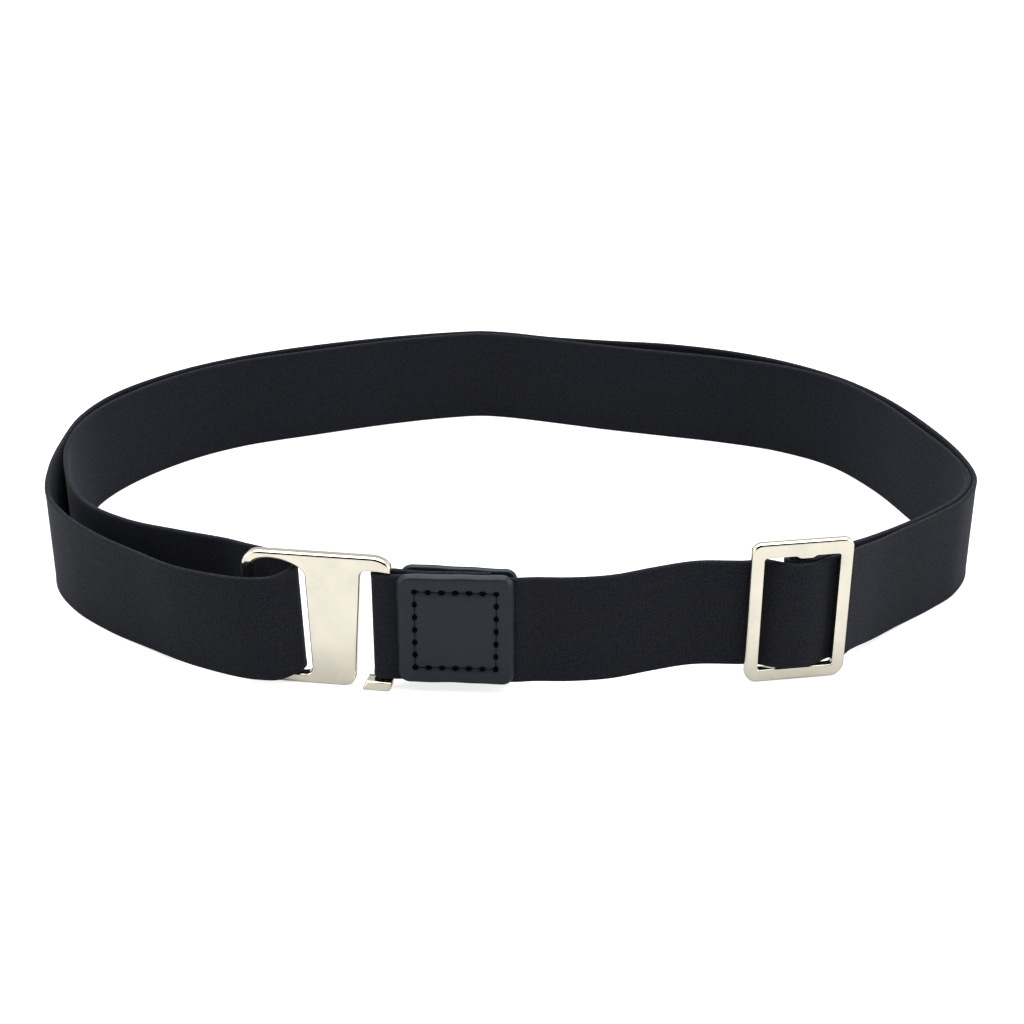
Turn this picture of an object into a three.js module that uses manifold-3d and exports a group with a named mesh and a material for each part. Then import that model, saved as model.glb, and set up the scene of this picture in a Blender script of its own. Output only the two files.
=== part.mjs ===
// Shirt stay: one elastic webbing belt worn over a shirt, in a double loop that stands on its lower edge.
// The webbing starts sewn round the centre bar of a slider, runs round the loop as its inner layer, folds
// through a hook clasp, runs round again as the outer layer, threads the slider and ends in a leather
// covered loop on the hook's post.
// Millimetres. +X to the right along the loop's width, +Y to its back, +Z up, origin under the loop's middle.
import * as THREE from "three";
import { mergeVertices } from "three/addons/utils/BufferGeometryUtils.js";
import Module from "manifold-3d";

const wasm = await Module();
wasm.setup();

// Loop, measured over the outer layer
const LOOP_WIDTH = 217.2;
const LOOP_DEPTH = 149.4;

// Webbing
const BAND_WIDTH = 25;
const BAND_THICK = 1.1;
const BAND_EDGE = 0.25; // chamfer along both woven edges
const CLEAR = 0.3; // between pieces that touch on the real belt

// Slider: a flat frame with a centre bar set behind it
const SLIDER_OUTER_WIDTH = 21.9;
const SLIDER_SIDE = 2.8; // width of the two side bars
const SLIDER_RAIL = 3; // height of the bottom rail
const SLIDER_TOP_RAIL = 3.45;
const SLIDER_THICK = 1.9;
const SLIDER_PLAY = 1.75; // window height beyond the webbing's width
const SLIDER_CORNER = 2.2;
const SLIDER_FOOT_CORNER = 3; // the two bottom corners are rounder
const SLIDER_WINDOW_CORNER = 0.6;
const SLIDER_BEVEL = 0.3;
const CENTRE_BAR_WIDTH = 3;
const CENTRE_BAR_THICK = 1.5;
const CENTRE_BAR_INSET = 1; // from the frame's top and bottom edges to the bar's ends
const CENTRE_LUG = 0.6; // how far the bar's upper lug shows in the window
const CENTRE_LUG_SHIFT = 0.8; // from the bar to the lug, to the right
const WINDOW_LEAN = 0.7; // the webbing's top edge leans back by this in the left half of the window
const SLIDER_TURN = 8.8; // degrees, right end back
const SLIDER_BEND = 40; // degrees, by which all the layers turn back past the slider's right side
const SEWN_TAIL = 3.2; // cut end of the webbing beyond the slider

// Hook clasp: a plate with a closed slot on its left and an open one on its right, then a post with a foot
const HOOK_WIDTH = 31.9;
const HOOK_THICK = 2.4;
const HOOK_RAIL = 3.3; // top rail over the open slot
const HOOK_FOOT = 2.2; // height of the foot and of the rail under the closed slot
const HOOK_PLAY = 0.7; // slot height beyond the webbing's width
const HOOK_SIDE = 2.2; // left bar
const HOOK_BODY = 11.65; // plate between the slots, at its top
const HOOK_TAPER = 0.6; // by which the body's left side draws in downwards
const HOOK_DRAW_IN = 1.6; // the same on its right side
const HOOK_SLOT = 11.4; // width of the closed slot, at its top
const HOOK_POST = 2.2;
const HOOK_POST_INSET = 0.45; // the post and its foot end this far short of the rail
const HOOK_POST_THICK = 1.2; // the post is flush with the back of the plate
const HOOK_FOOT_REACH = 4.2; // foot beyond the post, towards the body
const HOOK_FOOT_THICK = 3.4; // the foot stands out in front of the plate
const HOOK_TIP_DROP = 0.3; // the free end of the top rail hangs this much lower
const HOOK_CORNER = 4.2;
const HOOK_INNER_CORNER = 2; // where the body meets the top rail
const HOOK_LOW_CORNER = 3.2; // bottom right corner of the body
const HOOK_BEVEL = 0.35;
const HOOK_TURN = -8.1; // degrees, right end forward

// Leather patches sewn over the closed end loop
const PATCH_WIDTH = 24.3;
const PATCH_HEIGHT = 25.9;
const PATCH_THICK = 1.4;
const PATCH_CORNER = 2.5;
const PATCH_BEVEL = 0.9;
const FRONT_PATCH_TURN = -2; // degrees
const BACK_PATCH_TURN = -4.2;
const BACK_PATCH_DROP = 0.7; // the back patch sits this much lower
const BACK_PATCH_SHIFT = 0.6; // and this much further right

// Places on the front of the loop: shares of half the loop's width and depth
const SLIDER_AT = { x: 0.56, y: -0.9157 };
const HOOK_AT = { x: -0.3657, y: -0.938 };
const PATCH_AT = { x: -0.101, y: -0.9995 };

const halfWidth = LOOP_WIDTH / 2;
const halfDepth = LOOP_DEPTH / 2;
const windowHeight = BAND_WIDTH + SLIDER_PLAY;
const sliderHeight = SLIDER_RAIL + windowHeight + SLIDER_TOP_RAIL;
const hookSlotTop = HOOK_FOOT + BAND_WIDTH + HOOK_PLAY;
const hookHeight = hookSlotTop + HOOK_RAIL;
const layerPitch = BAND_THICK + CLEAR; // between the middles of two layers that lie together
const sliderLift = SLIDER_RAIL + CLEAR;
const hookLift = HOOK_FOOT + CLEAR;

// Outer layer of the loop, seen from above, from the hook round the left, back and right to the slider.
// x and y: outer face, shares of half the loop. In shares of the webbing's width, apart: from that layer to
// the inner one, lean: how far the top edge stands out over the bottom edge, lift: bottom edge over the floor.
const LOOP = [
  { x: -0.636, y: -0.865, apart: 0.535, lean: 0.09, lift: 0.034 },
  { x: -0.726, y: -0.768, apart: 0.43, lean: 0.07, lift: 0.012 },
  { x: -0.821, y: -0.663, apart: 0.32, lean: 0.04, lift: 0 },
  { x: -0.91, y: -0.538, apart: 0.26, lean: 0.01, lift: 0 },
  { x: -0.97, y: -0.395, apart: 0.235, lean: 0, lift: 0 },
  { x: -0.996, y: -0.2, apart: 0.145, lean: 0, lift: 0 },
  { x: -1, y: 0, apart: 0.06, lean: 0, lift: 0 },
  { x: -0.986, y: 0.21, apart: 0.075, lean: 0, lift: 0 },
  { x: -0.935, y: 0.395, apart: 0.115, lean: 0, lift: 0 },
  { x: -0.824, y: 0.582, apart: 0.105, lean: 0, lift: 0 },
  { x: -0.69, y: 0.722, apart: 0.105, lean: 0, lift: 0 },
  { x: -0.502, y: 0.846, apart: 0.14, lean: 0, lift: 0 },
  { x: -0.3, y: 0.938, apart: 0.1, lean: 0, lift: 0 },
  { x: -0.152, y: 0.984, apart: 0.072, lean: 0, lift: 0 },
  { x: -0.071, y: 0.997, apart: 0.066, lean: 0, lift: 0 },
  { x: 0.001, y: 0.981, apart: 0.062, lean: 0, lift: 0 },
  { x: 0.104, y: 0.937, apart: 0.062, lean: 0, lift: 0 },
  { x: 0.25, y: 0.899, apart: 0.15, lean: 0, lift: 0 },
  { x: 0.406, y: 0.863, apart: 0.23, lean: 0, lift: 0 },
  { x: 0.56, y: 0.789, apart: 0.2, lean: 0, lift: 0 },
  { x: 0.691, y: 0.681, apart: 0.115, lean: 0, lift: 0 },
  { x: 0.805, y: 0.532, apart: 0.06, lean: 0, lift: 0 },
  { x: 0.89, y: 0.335, apart: 0.068, lean: 0.02, lift: 0 },
  { x: 0.95, y: 0.11, apart: 0.08, lean: 0.03, lift: 0 },
  { x: 0.991, y: -0.11, apart: 0.058, lean: 0.02, lift: 0 },
  { x: 0.999, y: -0.285, apart: 0.057, lean: 0, lift: 0 },
  { x: 0.953, y: -0.43, apart: 0.057, lean: 0, lift: 0 },
  { x: 0.886, y: -0.531, apart: 0.057, lean: 0, lift: 0 },
  { x: 0.8, y: -0.645, apart: 0.06, lean: 0, lift: 0.02 },
  { x: 0.74, y: -0.735, apart: 0.09, lean: 0, lift: 0.05 },
];

// Single layer from the slider to the patches, in the same shares
const FRONT = [
  { x: 0.36, y: -0.915, lean: 0, lift: 0.118 },
  { x: 0.28, y: -0.934, lean: 0, lift: 0.09 },
  { x: 0.2, y: -0.957, lean: 0, lift: 0.056 },
  { x: 0.121, y: -0.969, lean: 0, lift: 0.05 },
  { x: 0.05, y: -0.978, lean: 0, lift: 0.066 },
];

// Slack fold of the webbing through the closed slot of the hook, from the inner layer to the outer one.
// along: from the left bar (0) to the body (1). In shares of the webbing's width, out: to the front of the
// plate's middle, lean: as in LOOP, drop: under the slot's floor, outside the slot.
const HOOK_FOLD = [
  { along: -0.314, out: -0.391, lean: 0, drop: 0.024 },
  { along: 0.11, out: -0.308, lean: 0, drop: 0.01 },
  { along: 0.452, out: -0.22, lean: 0, drop: 0 },
  { along: 0.731, out: -0.152, lean: -0.015, drop: 0 },
  { along: 0.845, out: -0.078, lean: -0.03, drop: 0 },
  { along: 0.832, out: -0.012, lean: -0.03, drop: 0 },
  { along: 0.73, out: 0.056, lean: -0.02, drop: 0.006 },
  { along: 0.45, out: 0.128, lean: 0, drop: 0.034 },
  { along: 0.11, out: 0.149, lean: 0.03, drop: 0.034 },
  { along: -0.276, out: 0.128, lean: 0.052, drop: 0.036 },
];

// Largest step between two sections of the webbing
const RING_LENGTH = 6;
const RING_TURN = 13; // degrees

// A flat piece's own axes on the loop: along it to the right, and out of its front
function stand(at, turn) {
  const angle = THREE.MathUtils.degToRad(turn);
  const along = new THREE.Vector2(Math.cos(angle), Math.sin(angle));
  const out = new THREE.Vector2(Math.sin(angle), -Math.cos(angle));
  const centre = new THREE.Vector2(at.x * halfWidth, at.y * halfDepth);
  const place = (a, o) => centre.clone().addScaledVector(along, a).addScaledVector(out, o);
  return { angle, centre, place };
}

const slider = stand(SLIDER_AT, SLIDER_TURN);
const hook = stand(HOOK_AT, HOOK_TURN);
const frontPatch = stand(PATCH_AT, FRONT_PATCH_TURN);

// One point of the webbing's middle line: plan place, height of its bottom edge and lean of its top edge
const point = (plan, lift, lean = 0) => ({ x: plan.x, y: plan.y, lift, lean });

// Outside of the loop at a station, square to the line through its neighbours
function outward(stations, i) {
  const before = stations[Math.max(i - 1, 0)];
  const after = stations[Math.min(i + 1, stations.length - 1)];
  return new THREE.Vector2(before.y - after.y, after.x - before.x).normalize();
}

// A layer of the loop, offset inwards from the outer layer's face
function layer(stations, inset) {
  const plan = stations.map((s) => new THREE.Vector2(s.x * halfWidth, s.y * halfDepth));
  return stations.map((s, i) => {
    const middle = plan[i].clone().addScaledVector(outward(plan, i), -inset(s));
    return point(middle, s.lift * BAND_WIDTH, s.lean * BAND_WIDTH);
  });
}

// Half turn of the webbing round a bar: points on an arc from its front to its back by the left
function leftFold(frame, along, out, radius, lift, steps) {
  const points = [];
  for (let i = 0; i <= steps; i++) {
    const angle = Math.PI / 2 + (Math.PI * i) / steps;
    points.push(point(frame.place(along + radius * Math.cos(angle), out + radius * Math.sin(angle)), lift));
  }
  return points;
}

// Middles of the layers at the slider, in front of the frame's middle
const behindSide = -(SLIDER_THICK / 2 + CLEAR + BAND_THICK / 2);
const wrapFront = -SLIDER_THICK / 2 + CLEAR + BAND_THICK / 2;
const wrapBack = -(SLIDER_THICK / 2 + CENTRE_BAR_THICK + CLEAR + BAND_THICK / 2);
const overBar = wrapFront + layerPitch;
const windowHalf = SLIDER_OUTER_WIDTH / 2 - SLIDER_SIDE;
const windowMiddle = (windowHalf + CENTRE_BAR_WIDTH / 2) / 2;
const halfway = (overBar + behindSide) / 2;

// Past the slider's right side, where the layers turn back together: ply 0 is the outer layer
function pastSlider(distance, ply) {
  const angle = slider.angle + THREE.MathUtils.degToRad(SLIDER_BEND);
  const plan = slider.place(SLIDER_OUTER_WIDTH / 2, behindSide);
  plan.x += distance * Math.cos(angle) - ply * layerPitch * Math.sin(angle);
  plan.y += distance * Math.sin(angle) + ply * layerPitch * Math.cos(angle);
  return point(plan, sliderLift);
}

// Sewn end: its cut end beside the slider, in to the centre bar, round it and out again behind the side bar
function sewnEnd() {
  const radius = (wrapFront - wrapBack) / 2;
  const along = -CENTRE_BAR_WIDTH / 2 + radius / 4;
  const inPly = behindSide - layerPitch - CLEAR / 2;
  const backPly = Math.min(wrapBack, inPly) - layerPitch / 2;
  const side = SLIDER_OUTER_WIDTH / 2;
  const at = (a, o) => point(slider.place(a, o), sliderLift);
  return [
    pastSlider(SEWN_TAIL, 1),
    at(side - layerPitch / 2, inPly),
    at(windowHalf - SLIDER_SIDE / 2, inPly + CLEAR),
    at(windowMiddle, halfway - layerPitch),
    at(CENTRE_BAR_WIDTH / 2, wrapFront),
    ...leftFold(slider, along, (wrapFront + wrapBack) / 2, radius, sliderLift, 6),
    at(windowHalf - SLIDER_SIDE / 2, backPly - layerPitch / 2),
    at(side - SLIDER_SIDE / 2, inPly - layerPitch),
    pastSlider(SEWN_TAIL, 2),
  ];
}

// Outer layer through the slider: behind the right bar, over the centre bar, behind the left bar
function throughSlider() {
  const behind = sliderLift - CLEAR / 2;
  const across = [
    [SLIDER_OUTER_WIDTH / 2, behindSide, sliderLift, 0],
    [windowHalf, behindSide, behind, 0],
    [windowMiddle, halfway + CLEAR, sliderLift, 0],
    [CENTRE_BAR_WIDTH / 2, overBar, sliderLift, 0],
    [-CENTRE_BAR_WIDTH / 2, overBar, sliderLift, 0],
    [-windowMiddle, halfway + 2 * CLEAR, sliderLift, -WINDOW_LEAN],
    [-windowHalf, behindSide, behind, -WINDOW_LEAN],
    [-SLIDER_OUTER_WIDTH / 2, behindSide, sliderLift, 0],
  ];
  return [
    pastSlider(SEWN_TAIL, 0),
    ...across.map(([along, out, lift, lean]) => point(slider.place(along, out), lift, lean)),
  ];
}

// Closed slot of the hook
const slotLeft = -HOOK_WIDTH / 2 + HOOK_SIDE;
const slotRight = slotLeft + HOOK_SLOT;

function throughHook() {
  return HOOK_FOLD.map(({ along, out, lean, drop }) => {
    const plan = hook.place(slotLeft + along * HOOK_SLOT, out * BAND_WIDTH);
    return point(plan, hookLift - drop * BAND_WIDTH, lean * BAND_WIDTH);
  });
}

// End loop: between the patches, round the hook's post and back between the patches
const postRight = HOOK_WIDTH / 2 - HOOK_POST_INSET;
const postLeft = postRight - HOOK_POST;
const postMiddle = (HOOK_POST_THICK - HOOK_THICK) / 2;
const plyInPatch = -(PATCH_THICK / 2 + CLEAR + BAND_THICK / 2);

function endLoop() {
  const inPatch = (share, out) => point(frontPatch.place(share * PATCH_WIDTH, out), hookLift);
  const radius = HOOK_POST_THICK / 2 + CLEAR + BAND_THICK / 2;
  return [
    { ...inPatch(0.5, plyInPatch), lift: (hookLift + FRONT[FRONT.length - 1].lift * BAND_WIDTH) / 2 },
    inPatch(0, plyInPatch),
    inPatch(-0.3, plyInPatch),
    point(hook.place(postRight, postMiddle + radius - CLEAR / 2), hookLift),
    ...leftFold(hook, postLeft, postMiddle, radius, hookLift, 6),
    point(hook.place(postRight, postMiddle - radius), hookLift),
    inPatch(-0.3, plyInPatch - layerPitch),
    inPatch(0, plyInPatch - layerPitch),
    inPatch(0.3, plyInPatch - layerPitch),
  ];
}

// Whole route of the webbing's middle line, from the cut end at the slider to the end between the patches
function route() {
  const inner = layer(LOOP, (s) => BAND_THICK / 2 + s.apart * BAND_WIDTH).reverse();
  const outer = layer(LOOP, () => BAND_THICK / 2);
  inner.forEach((p) => (p.lean = 0));
  return [
    ...sewnEnd(),
    ...inner,
    ...throughHook(),
    ...outer,
    ...throughSlider(),
    ...layer(FRONT, () => BAND_THICK / 2),
    ...endLoop(),
  ];
}

// Parameters along a curve such that no step is longer or turns more than allowed
function ringParameters(curve, count) {
  const fine = count * 24;
  const picked = [0];
  let length = 0;
  let turn = 0;
  let last = curve.getPoint(0);
  let heading = curve.getTangent(0);
  for (let i = 1; i < fine; i++) {
    const here = curve.getPoint(i / fine);
    const now = curve.getTangent(i / fine);
    length += here.distanceTo(last) / RING_LENGTH;
    turn += THREE.MathUtils.radToDeg(heading.angleTo(now)) / RING_TURN;
    last = here;
    heading = now;
    if (length + turn < 1) continue;
    picked.push(i / fine);
    length = 0;
    turn = 0;
  }
  picked.push(1);
  return picked;
}

// Webbing of a flat section with chamfered edges, swept along the route standing on its edge
function ribbon(points) {
  const middle = new THREE.CatmullRomCurve3(points.map((p) => new THREE.Vector3(p.x, p.y, 0)));
  const rise = new THREE.CatmullRomCurve3(points.map((p) => new THREE.Vector3(p.x, p.y, p.lift)));
  const tilt = new THREE.CatmullRomCurve3(points.map((p) => new THREE.Vector3(p.x, p.y, p.lean)));
  const half = BAND_THICK / 2;
  const section = [
    [half - BAND_EDGE, 0],
    [half, BAND_EDGE],
    [half, BAND_WIDTH - BAND_EDGE],
    [half - BAND_EDGE, BAND_WIDTH],
    [BAND_EDGE - half, BAND_WIDTH],
    [-half, BAND_WIDTH - BAND_EDGE],
    [-half, BAND_EDGE],
    [BAND_EDGE - half, 0],
  ];
  const parameters = ringParameters(middle, points.length - 1);
  const positions = [];
  for (const t of parameters) {
    const at = middle.getPoint(t);
    const heading = middle.getTangent(t);
    const side = new THREE.Vector2(-heading.y, heading.x).normalize();
    const lift = Math.max(rise.getPoint(t).z, 0);
    const lean = tilt.getPoint(t).z;
    for (const [across, up] of section) {
      const aside = across + (lean * up) / BAND_WIDTH;
      positions.push(at.x + side.x * aside, at.y + side.y * aside, lift + up);
    }
  }
  const n = section.length;
  const index = [];
  for (let ring = 0; ring + 1 < parameters.length; ring++) {
    for (let i = 0; i < n; i++) {
      const a = ring * n + i;
      const b = ring * n + ((i + 1) % n);
      index.push(a, b, a + n, b, b + n, a + n);
    }
  }
  const end = (parameters.length - 1) * n;
  for (let i = 1; i + 1 < n; i++) {
    index.push(0, i + 1, i);
    index.push(end, end + i, end + i + 1);
  }
  const geometry = new THREE.BufferGeometry();
  geometry.setAttribute("position", new THREE.Float32BufferAttribute(positions, 3));
  geometry.setIndex(index);
  return geometry;
}

// Plate cut to an outline that stands in the XZ plane, bevelled on both faces, its middle at y = middle
function plate(shape, thick, bevel, middle = 0) {
  const geometry = new THREE.ExtrudeGeometry(shape, {
    depth: thick - 2 * bevel,
    bevelThickness: bevel,
    bevelSize: bevel,
    bevelOffset: -bevel,
    bevelSegments: 2,
    curveSegments: 8,
  });
  geometry.translate(0, 0, bevel - thick / 2);
  geometry.rotateX(Math.PI / 2);
  geometry.translate(0, middle, 0);
  return geometry;
}

function roundedRect(path, left, bottom, width, height, radius, footRadius = radius) {
  const right = left + width;
  const top = bottom + height;
  path.moveTo(right - footRadius, bottom);
  path.absarc(right - footRadius, bottom + footRadius, footRadius, -Math.PI / 2, 0, false);
  path.absarc(right - radius, top - radius, radius, 0, Math.PI / 2, false);
  path.absarc(left + radius, top - radius, radius, Math.PI / 2, Math.PI, false);
  path.absarc(left + footRadius, bottom + footRadius, footRadius, Math.PI, (3 * Math.PI) / 2, false);
  return path;
}

// Joins closed geometries into one solid
function fuse(geometries) {
  const solids = geometries.map((source) => {
    const bare = source.index ? source.toNonIndexed() : source.clone();
    bare.deleteAttribute("normal");
    bare.deleteAttribute("uv");
    const merged = mergeVertices(bare, 1e-4);
    const vertProperties = merged.attributes.position.array;
    const triVerts = new Uint32Array(merged.index.array);
    return new wasm.Manifold(new wasm.Mesh({ numProp: 3, vertProperties, triVerts }));
  });
  const mesh = solids.reduce((whole, next) => whole.add(next)).getMesh();
  const geometry = new THREE.BufferGeometry();
  geometry.setAttribute("position", new THREE.BufferAttribute(mesh.vertProperties, 3));
  geometry.setIndex(new THREE.BufferAttribute(mesh.triVerts, 1));
  return geometry;
}

// Box between two corners, written as [x, y, z]
function block(low, high) {
  const size = high.map((value, i) => value - low[i]);
  const geometry = new THREE.BoxGeometry(...size);
  geometry.translate(...low.map((value, i) => value + size[i] / 2));
  return geometry;
}

function sliderGeometry() {
  const shape = roundedRect(
    new THREE.Shape(),
    -SLIDER_OUTER_WIDTH / 2, 0, SLIDER_OUTER_WIDTH, sliderHeight, SLIDER_CORNER, SLIDER_FOOT_CORNER,
  );
  shape.holes.push(
    roundedRect(
      new THREE.Path(),
      -windowHalf, SLIDER_RAIL, 2 * windowHalf, windowHeight, SLIDER_WINDOW_CORNER,
    ),
  );
  const half = CENTRE_BAR_WIDTH / 2;
  const face = SLIDER_THICK / 2;
  const back = face + CENTRE_BAR_THICK;
  const top = sliderHeight - CENTRE_BAR_INSET;
  return fuse([
    plate(shape, SLIDER_THICK, SLIDER_BEVEL),
    block([-half, face, CENTRE_BAR_INSET], [half, back, top]),
    block([-half, 0, CENTRE_BAR_INSET], [half, back, SLIDER_RAIL]),
    block(
      [CENTRE_LUG_SHIFT - half, SLIDER_BEVEL - face, SLIDER_RAIL + windowHeight - CENTRE_LUG],
      [CENTRE_LUG_SHIFT + half, back, top],
    ),
  ]);
}

// Outline of the plate with the rail that reaches over the open slot, and the arched closed slot
function hookPlate() {
  const left = -HOOK_WIDTH / 2;
  const right = HOOK_WIDTH / 2;
  const bodyTop = slotRight + HOOK_BODY;
  const bodyFoot = bodyTop - HOOK_DRAW_IN;
  const round = HOOK_CORNER;
  const low = HOOK_CORNER / 2;
  const inner = HOOK_INNER_CORNER;
  const tip = hookSlotTop - HOOK_TIP_DROP;
  const end = tip + 2 * HOOK_BEVEL;
  const shape = new THREE.Shape();
  shape.moveTo(bodyFoot - HOOK_LOW_CORNER, 0);
  shape.quadraticCurveTo(bodyFoot, 0, bodyFoot, HOOK_LOW_CORNER);
  shape.lineTo(bodyTop, hookSlotTop - inner);
  shape.quadraticCurveTo(bodyTop, hookSlotTop, bodyTop + inner, hookSlotTop);
  shape.lineTo(right, tip);
  shape.absellipse(right - round, end, round, hookHeight - end, 0, Math.PI / 2, false);
  shape.absarc(left + round, hookHeight - round, round, Math.PI / 2, Math.PI, false);
  shape.absarc(left + low, low, low, Math.PI, (3 * Math.PI) / 2, false);

  const arch = HOOK_RAIL;
  const slot = new THREE.Path();
  slot.moveTo(slotRight + HOOK_TAPER - low, HOOK_FOOT);
  slot.quadraticCurveTo(slotRight + HOOK_TAPER, HOOK_FOOT, slotRight + HOOK_TAPER, HOOK_FOOT + low);
  slot.lineTo(slotRight, hookSlotTop - arch / 2);
  slot.bezierCurveTo(
    slotRight - arch / 3, hookSlotTop + arch / 2,
    slotLeft + arch / 3, hookSlotTop + arch,
    slotLeft, hookSlotTop - arch / 8,
  );
  slot.lineTo(slotLeft, HOOK_FOOT + low / 2);
  slot.quadraticCurveTo(slotLeft, HOOK_FOOT, slotLeft + low / 2, HOOK_FOOT);
  shape.holes.push(slot);
  return shape;
}

// Outline of the post, with the foot that turns back under the end loop
function hookPost() {
  const tip = postLeft - HOOK_FOOT_REACH;
  const shape = new THREE.Shape();
  shape.moveTo(tip, 0);
  shape.lineTo(postRight - HOOK_FOOT / 2, 0);
  shape.quadraticCurveTo(postRight, 0, postRight, HOOK_FOOT);
  shape.lineTo(postRight, hookSlotTop + HOOK_RAIL / 4);
  shape.lineTo(postLeft, hookSlotTop + HOOK_RAIL / 4);
  shape.lineTo(postLeft, HOOK_FOOT);
  shape.lineTo(tip + HOOK_FOOT / 2, HOOK_FOOT);
  return shape;
}

// The foot reaches out in front of the plate, and the post above it is thinner than the plate
function hookFoot() {
  const tip = postLeft - HOOK_FOOT_REACH;
  const shape = new THREE.Shape();
  shape.moveTo(tip, 0);
  shape.lineTo(postRight - HOOK_FOOT / 2, 0);
  shape.quadraticCurveTo(postRight, 0, postRight, HOOK_FOOT);
  shape.lineTo(tip + HOOK_FOOT / 2, HOOK_FOOT);
  return shape;
}

function hookGeometry() {
  return fuse([
    plate(hookPlate(), HOOK_THICK, HOOK_BEVEL),
    plate(hookPost(), HOOK_POST_THICK, HOOK_BEVEL, -postMiddle),
    plate(hookFoot(), HOOK_FOOT_THICK, HOOK_BEVEL, (HOOK_THICK - HOOK_FOOT_THICK) / 2),
  ]);
}

// Leather patch with its outer face bevelled all round, from z = 0 up
function patchGeometry(outSign) {
  const shape = roundedRect(
    new THREE.Shape(),
    -PATCH_WIDTH / 2, 0, PATCH_WIDTH, PATCH_HEIGHT, PATCH_CORNER,
  );
  const rim = roundedRect(
    new THREE.Shape(),
    PATCH_BEVEL - PATCH_WIDTH / 2, PATCH_BEVEL,
    PATCH_WIDTH - 2 * PATCH_BEVEL, PATCH_HEIGHT - 2 * PATCH_BEVEL, PATCH_CORNER - PATCH_BEVEL,
  );
  const steps = 6;
  const edge = shape.extractPoints(steps).shape;
  const face = rim.extractPoints(steps).shape;
  const levels = [
    [edge, -PATCH_THICK / 2],
    [edge, PATCH_THICK / 2 - PATCH_BEVEL],
    [face, PATCH_THICK / 2],
  ];
  const positions = levels.flatMap(([ring, out]) => ring.flatMap((p) => [p.x, -out * outSign, p.y]));
  const n = edge.length;
  const index = [];
  const triangle = (a, b, c) => index.push(...(outSign > 0 ? [a, b, c] : [a, c, b]));
  for (let level = 0; level < 2; level++) {
    for (let i = 0; i < n; i++) {
      const a = level * n + i;
      const b = level * n + ((i + 1) % n);
      triangle(a, b, a + n);
      triangle(b, b + n, a + n);
    }
  }
  for (const [a, b, c] of THREE.ShapeUtils.triangulateShape(edge, [])) triangle(c, b, a);
  const top = 2 * n;
  for (const [a, b, c] of THREE.ShapeUtils.triangulateShape(face, [])) triangle(top + a, top + b, top + c);
  const geometry = new THREE.BufferGeometry();
  geometry.setAttribute("position", new THREE.Float32BufferAttribute(positions, 3));
  geometry.setIndex(index);
  return geometry;
}

// Materials
const webbing = new THREE.MeshStandardMaterial({ color: 0x1b1c22, roughness: 0.9, metalness: 0 });
const leather = new THREE.MeshStandardMaterial({ color: 0x30333c, roughness: 0.6, metalness: 0 });
const nickel = new THREE.MeshStandardMaterial({ color: 0xe6dfca, roughness: 0.18, metalness: 1 });

function mesh(name, geometry, material) {
  geometry.computeVertexNormals();
  const made = new THREE.Mesh(geometry, material);
  made.name = name;
  return made;
}

// Stands a piece on the loop at its plan place and height
function placed(made, plan, angle, height = 0) {
  made.position.set(plan.x, plan.y, height);
  made.rotation.z = angle;
  return made;
}

const patchLift = hookLift + (BAND_WIDTH - PATCH_HEIGHT) / 2 + CLEAR;
const backOut = plyInPatch - layerPitch + plyInPatch;
const backTurn = THREE.MathUtils.degToRad(BACK_PATCH_TURN);
const backSpread = (PATCH_WIDTH / 2) * Math.tan(frontPatch.angle - backTurn);

const shirtStay = new THREE.Group();
shirtStay.add(
  mesh("elastic_band", ribbon(route()), webbing),
  placed(mesh("slider", sliderGeometry(), nickel), slider.centre, slider.angle),
  placed(mesh("hook_clasp", hookGeometry(), nickel), hook.centre, hook.angle),
  placed(
    mesh("leather_patch_front", patchGeometry(1), leather),
    frontPatch.centre,
    frontPatch.angle,
    patchLift,
  ),
  placed(
    mesh("leather_patch_back", patchGeometry(-1), leather),
    frontPatch.place(BACK_PATCH_SHIFT, backOut - backSpread),
    backTurn,
    patchLift - BACK_PATCH_DROP,
  ),
);

export default shirtStay;
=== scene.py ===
# Shirt stay: elastic webbing in a double loop, with a nickel slider and hook clasp and leather patches.
# Every size is in millimetres in the object's own frame, and meshes are made in metres.
import math

import bpy
import numpy as np
from mathutils import Matrix, Vector
from mathutils.geometry import tessellate_polygon


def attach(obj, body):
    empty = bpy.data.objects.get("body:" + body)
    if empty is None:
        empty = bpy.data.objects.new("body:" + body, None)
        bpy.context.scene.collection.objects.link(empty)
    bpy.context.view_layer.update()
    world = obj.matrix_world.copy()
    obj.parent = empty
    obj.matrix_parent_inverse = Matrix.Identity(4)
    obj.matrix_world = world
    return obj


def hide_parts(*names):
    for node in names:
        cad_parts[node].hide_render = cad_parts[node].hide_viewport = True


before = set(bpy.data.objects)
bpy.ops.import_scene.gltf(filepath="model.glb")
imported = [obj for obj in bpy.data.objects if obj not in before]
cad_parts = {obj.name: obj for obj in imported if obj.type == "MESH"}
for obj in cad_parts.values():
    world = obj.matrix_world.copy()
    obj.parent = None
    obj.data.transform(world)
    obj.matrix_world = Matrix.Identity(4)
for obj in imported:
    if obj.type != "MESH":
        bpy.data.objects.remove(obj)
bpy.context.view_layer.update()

MM = 0.001

# Loop, webbing and gaps
LOOP_WIDTH = 217.2
LOOP_DEPTH = 149.4
BAND_WIDTH = 25.0
BAND_THICK = 1.1
CLEAR = 0.3

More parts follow.
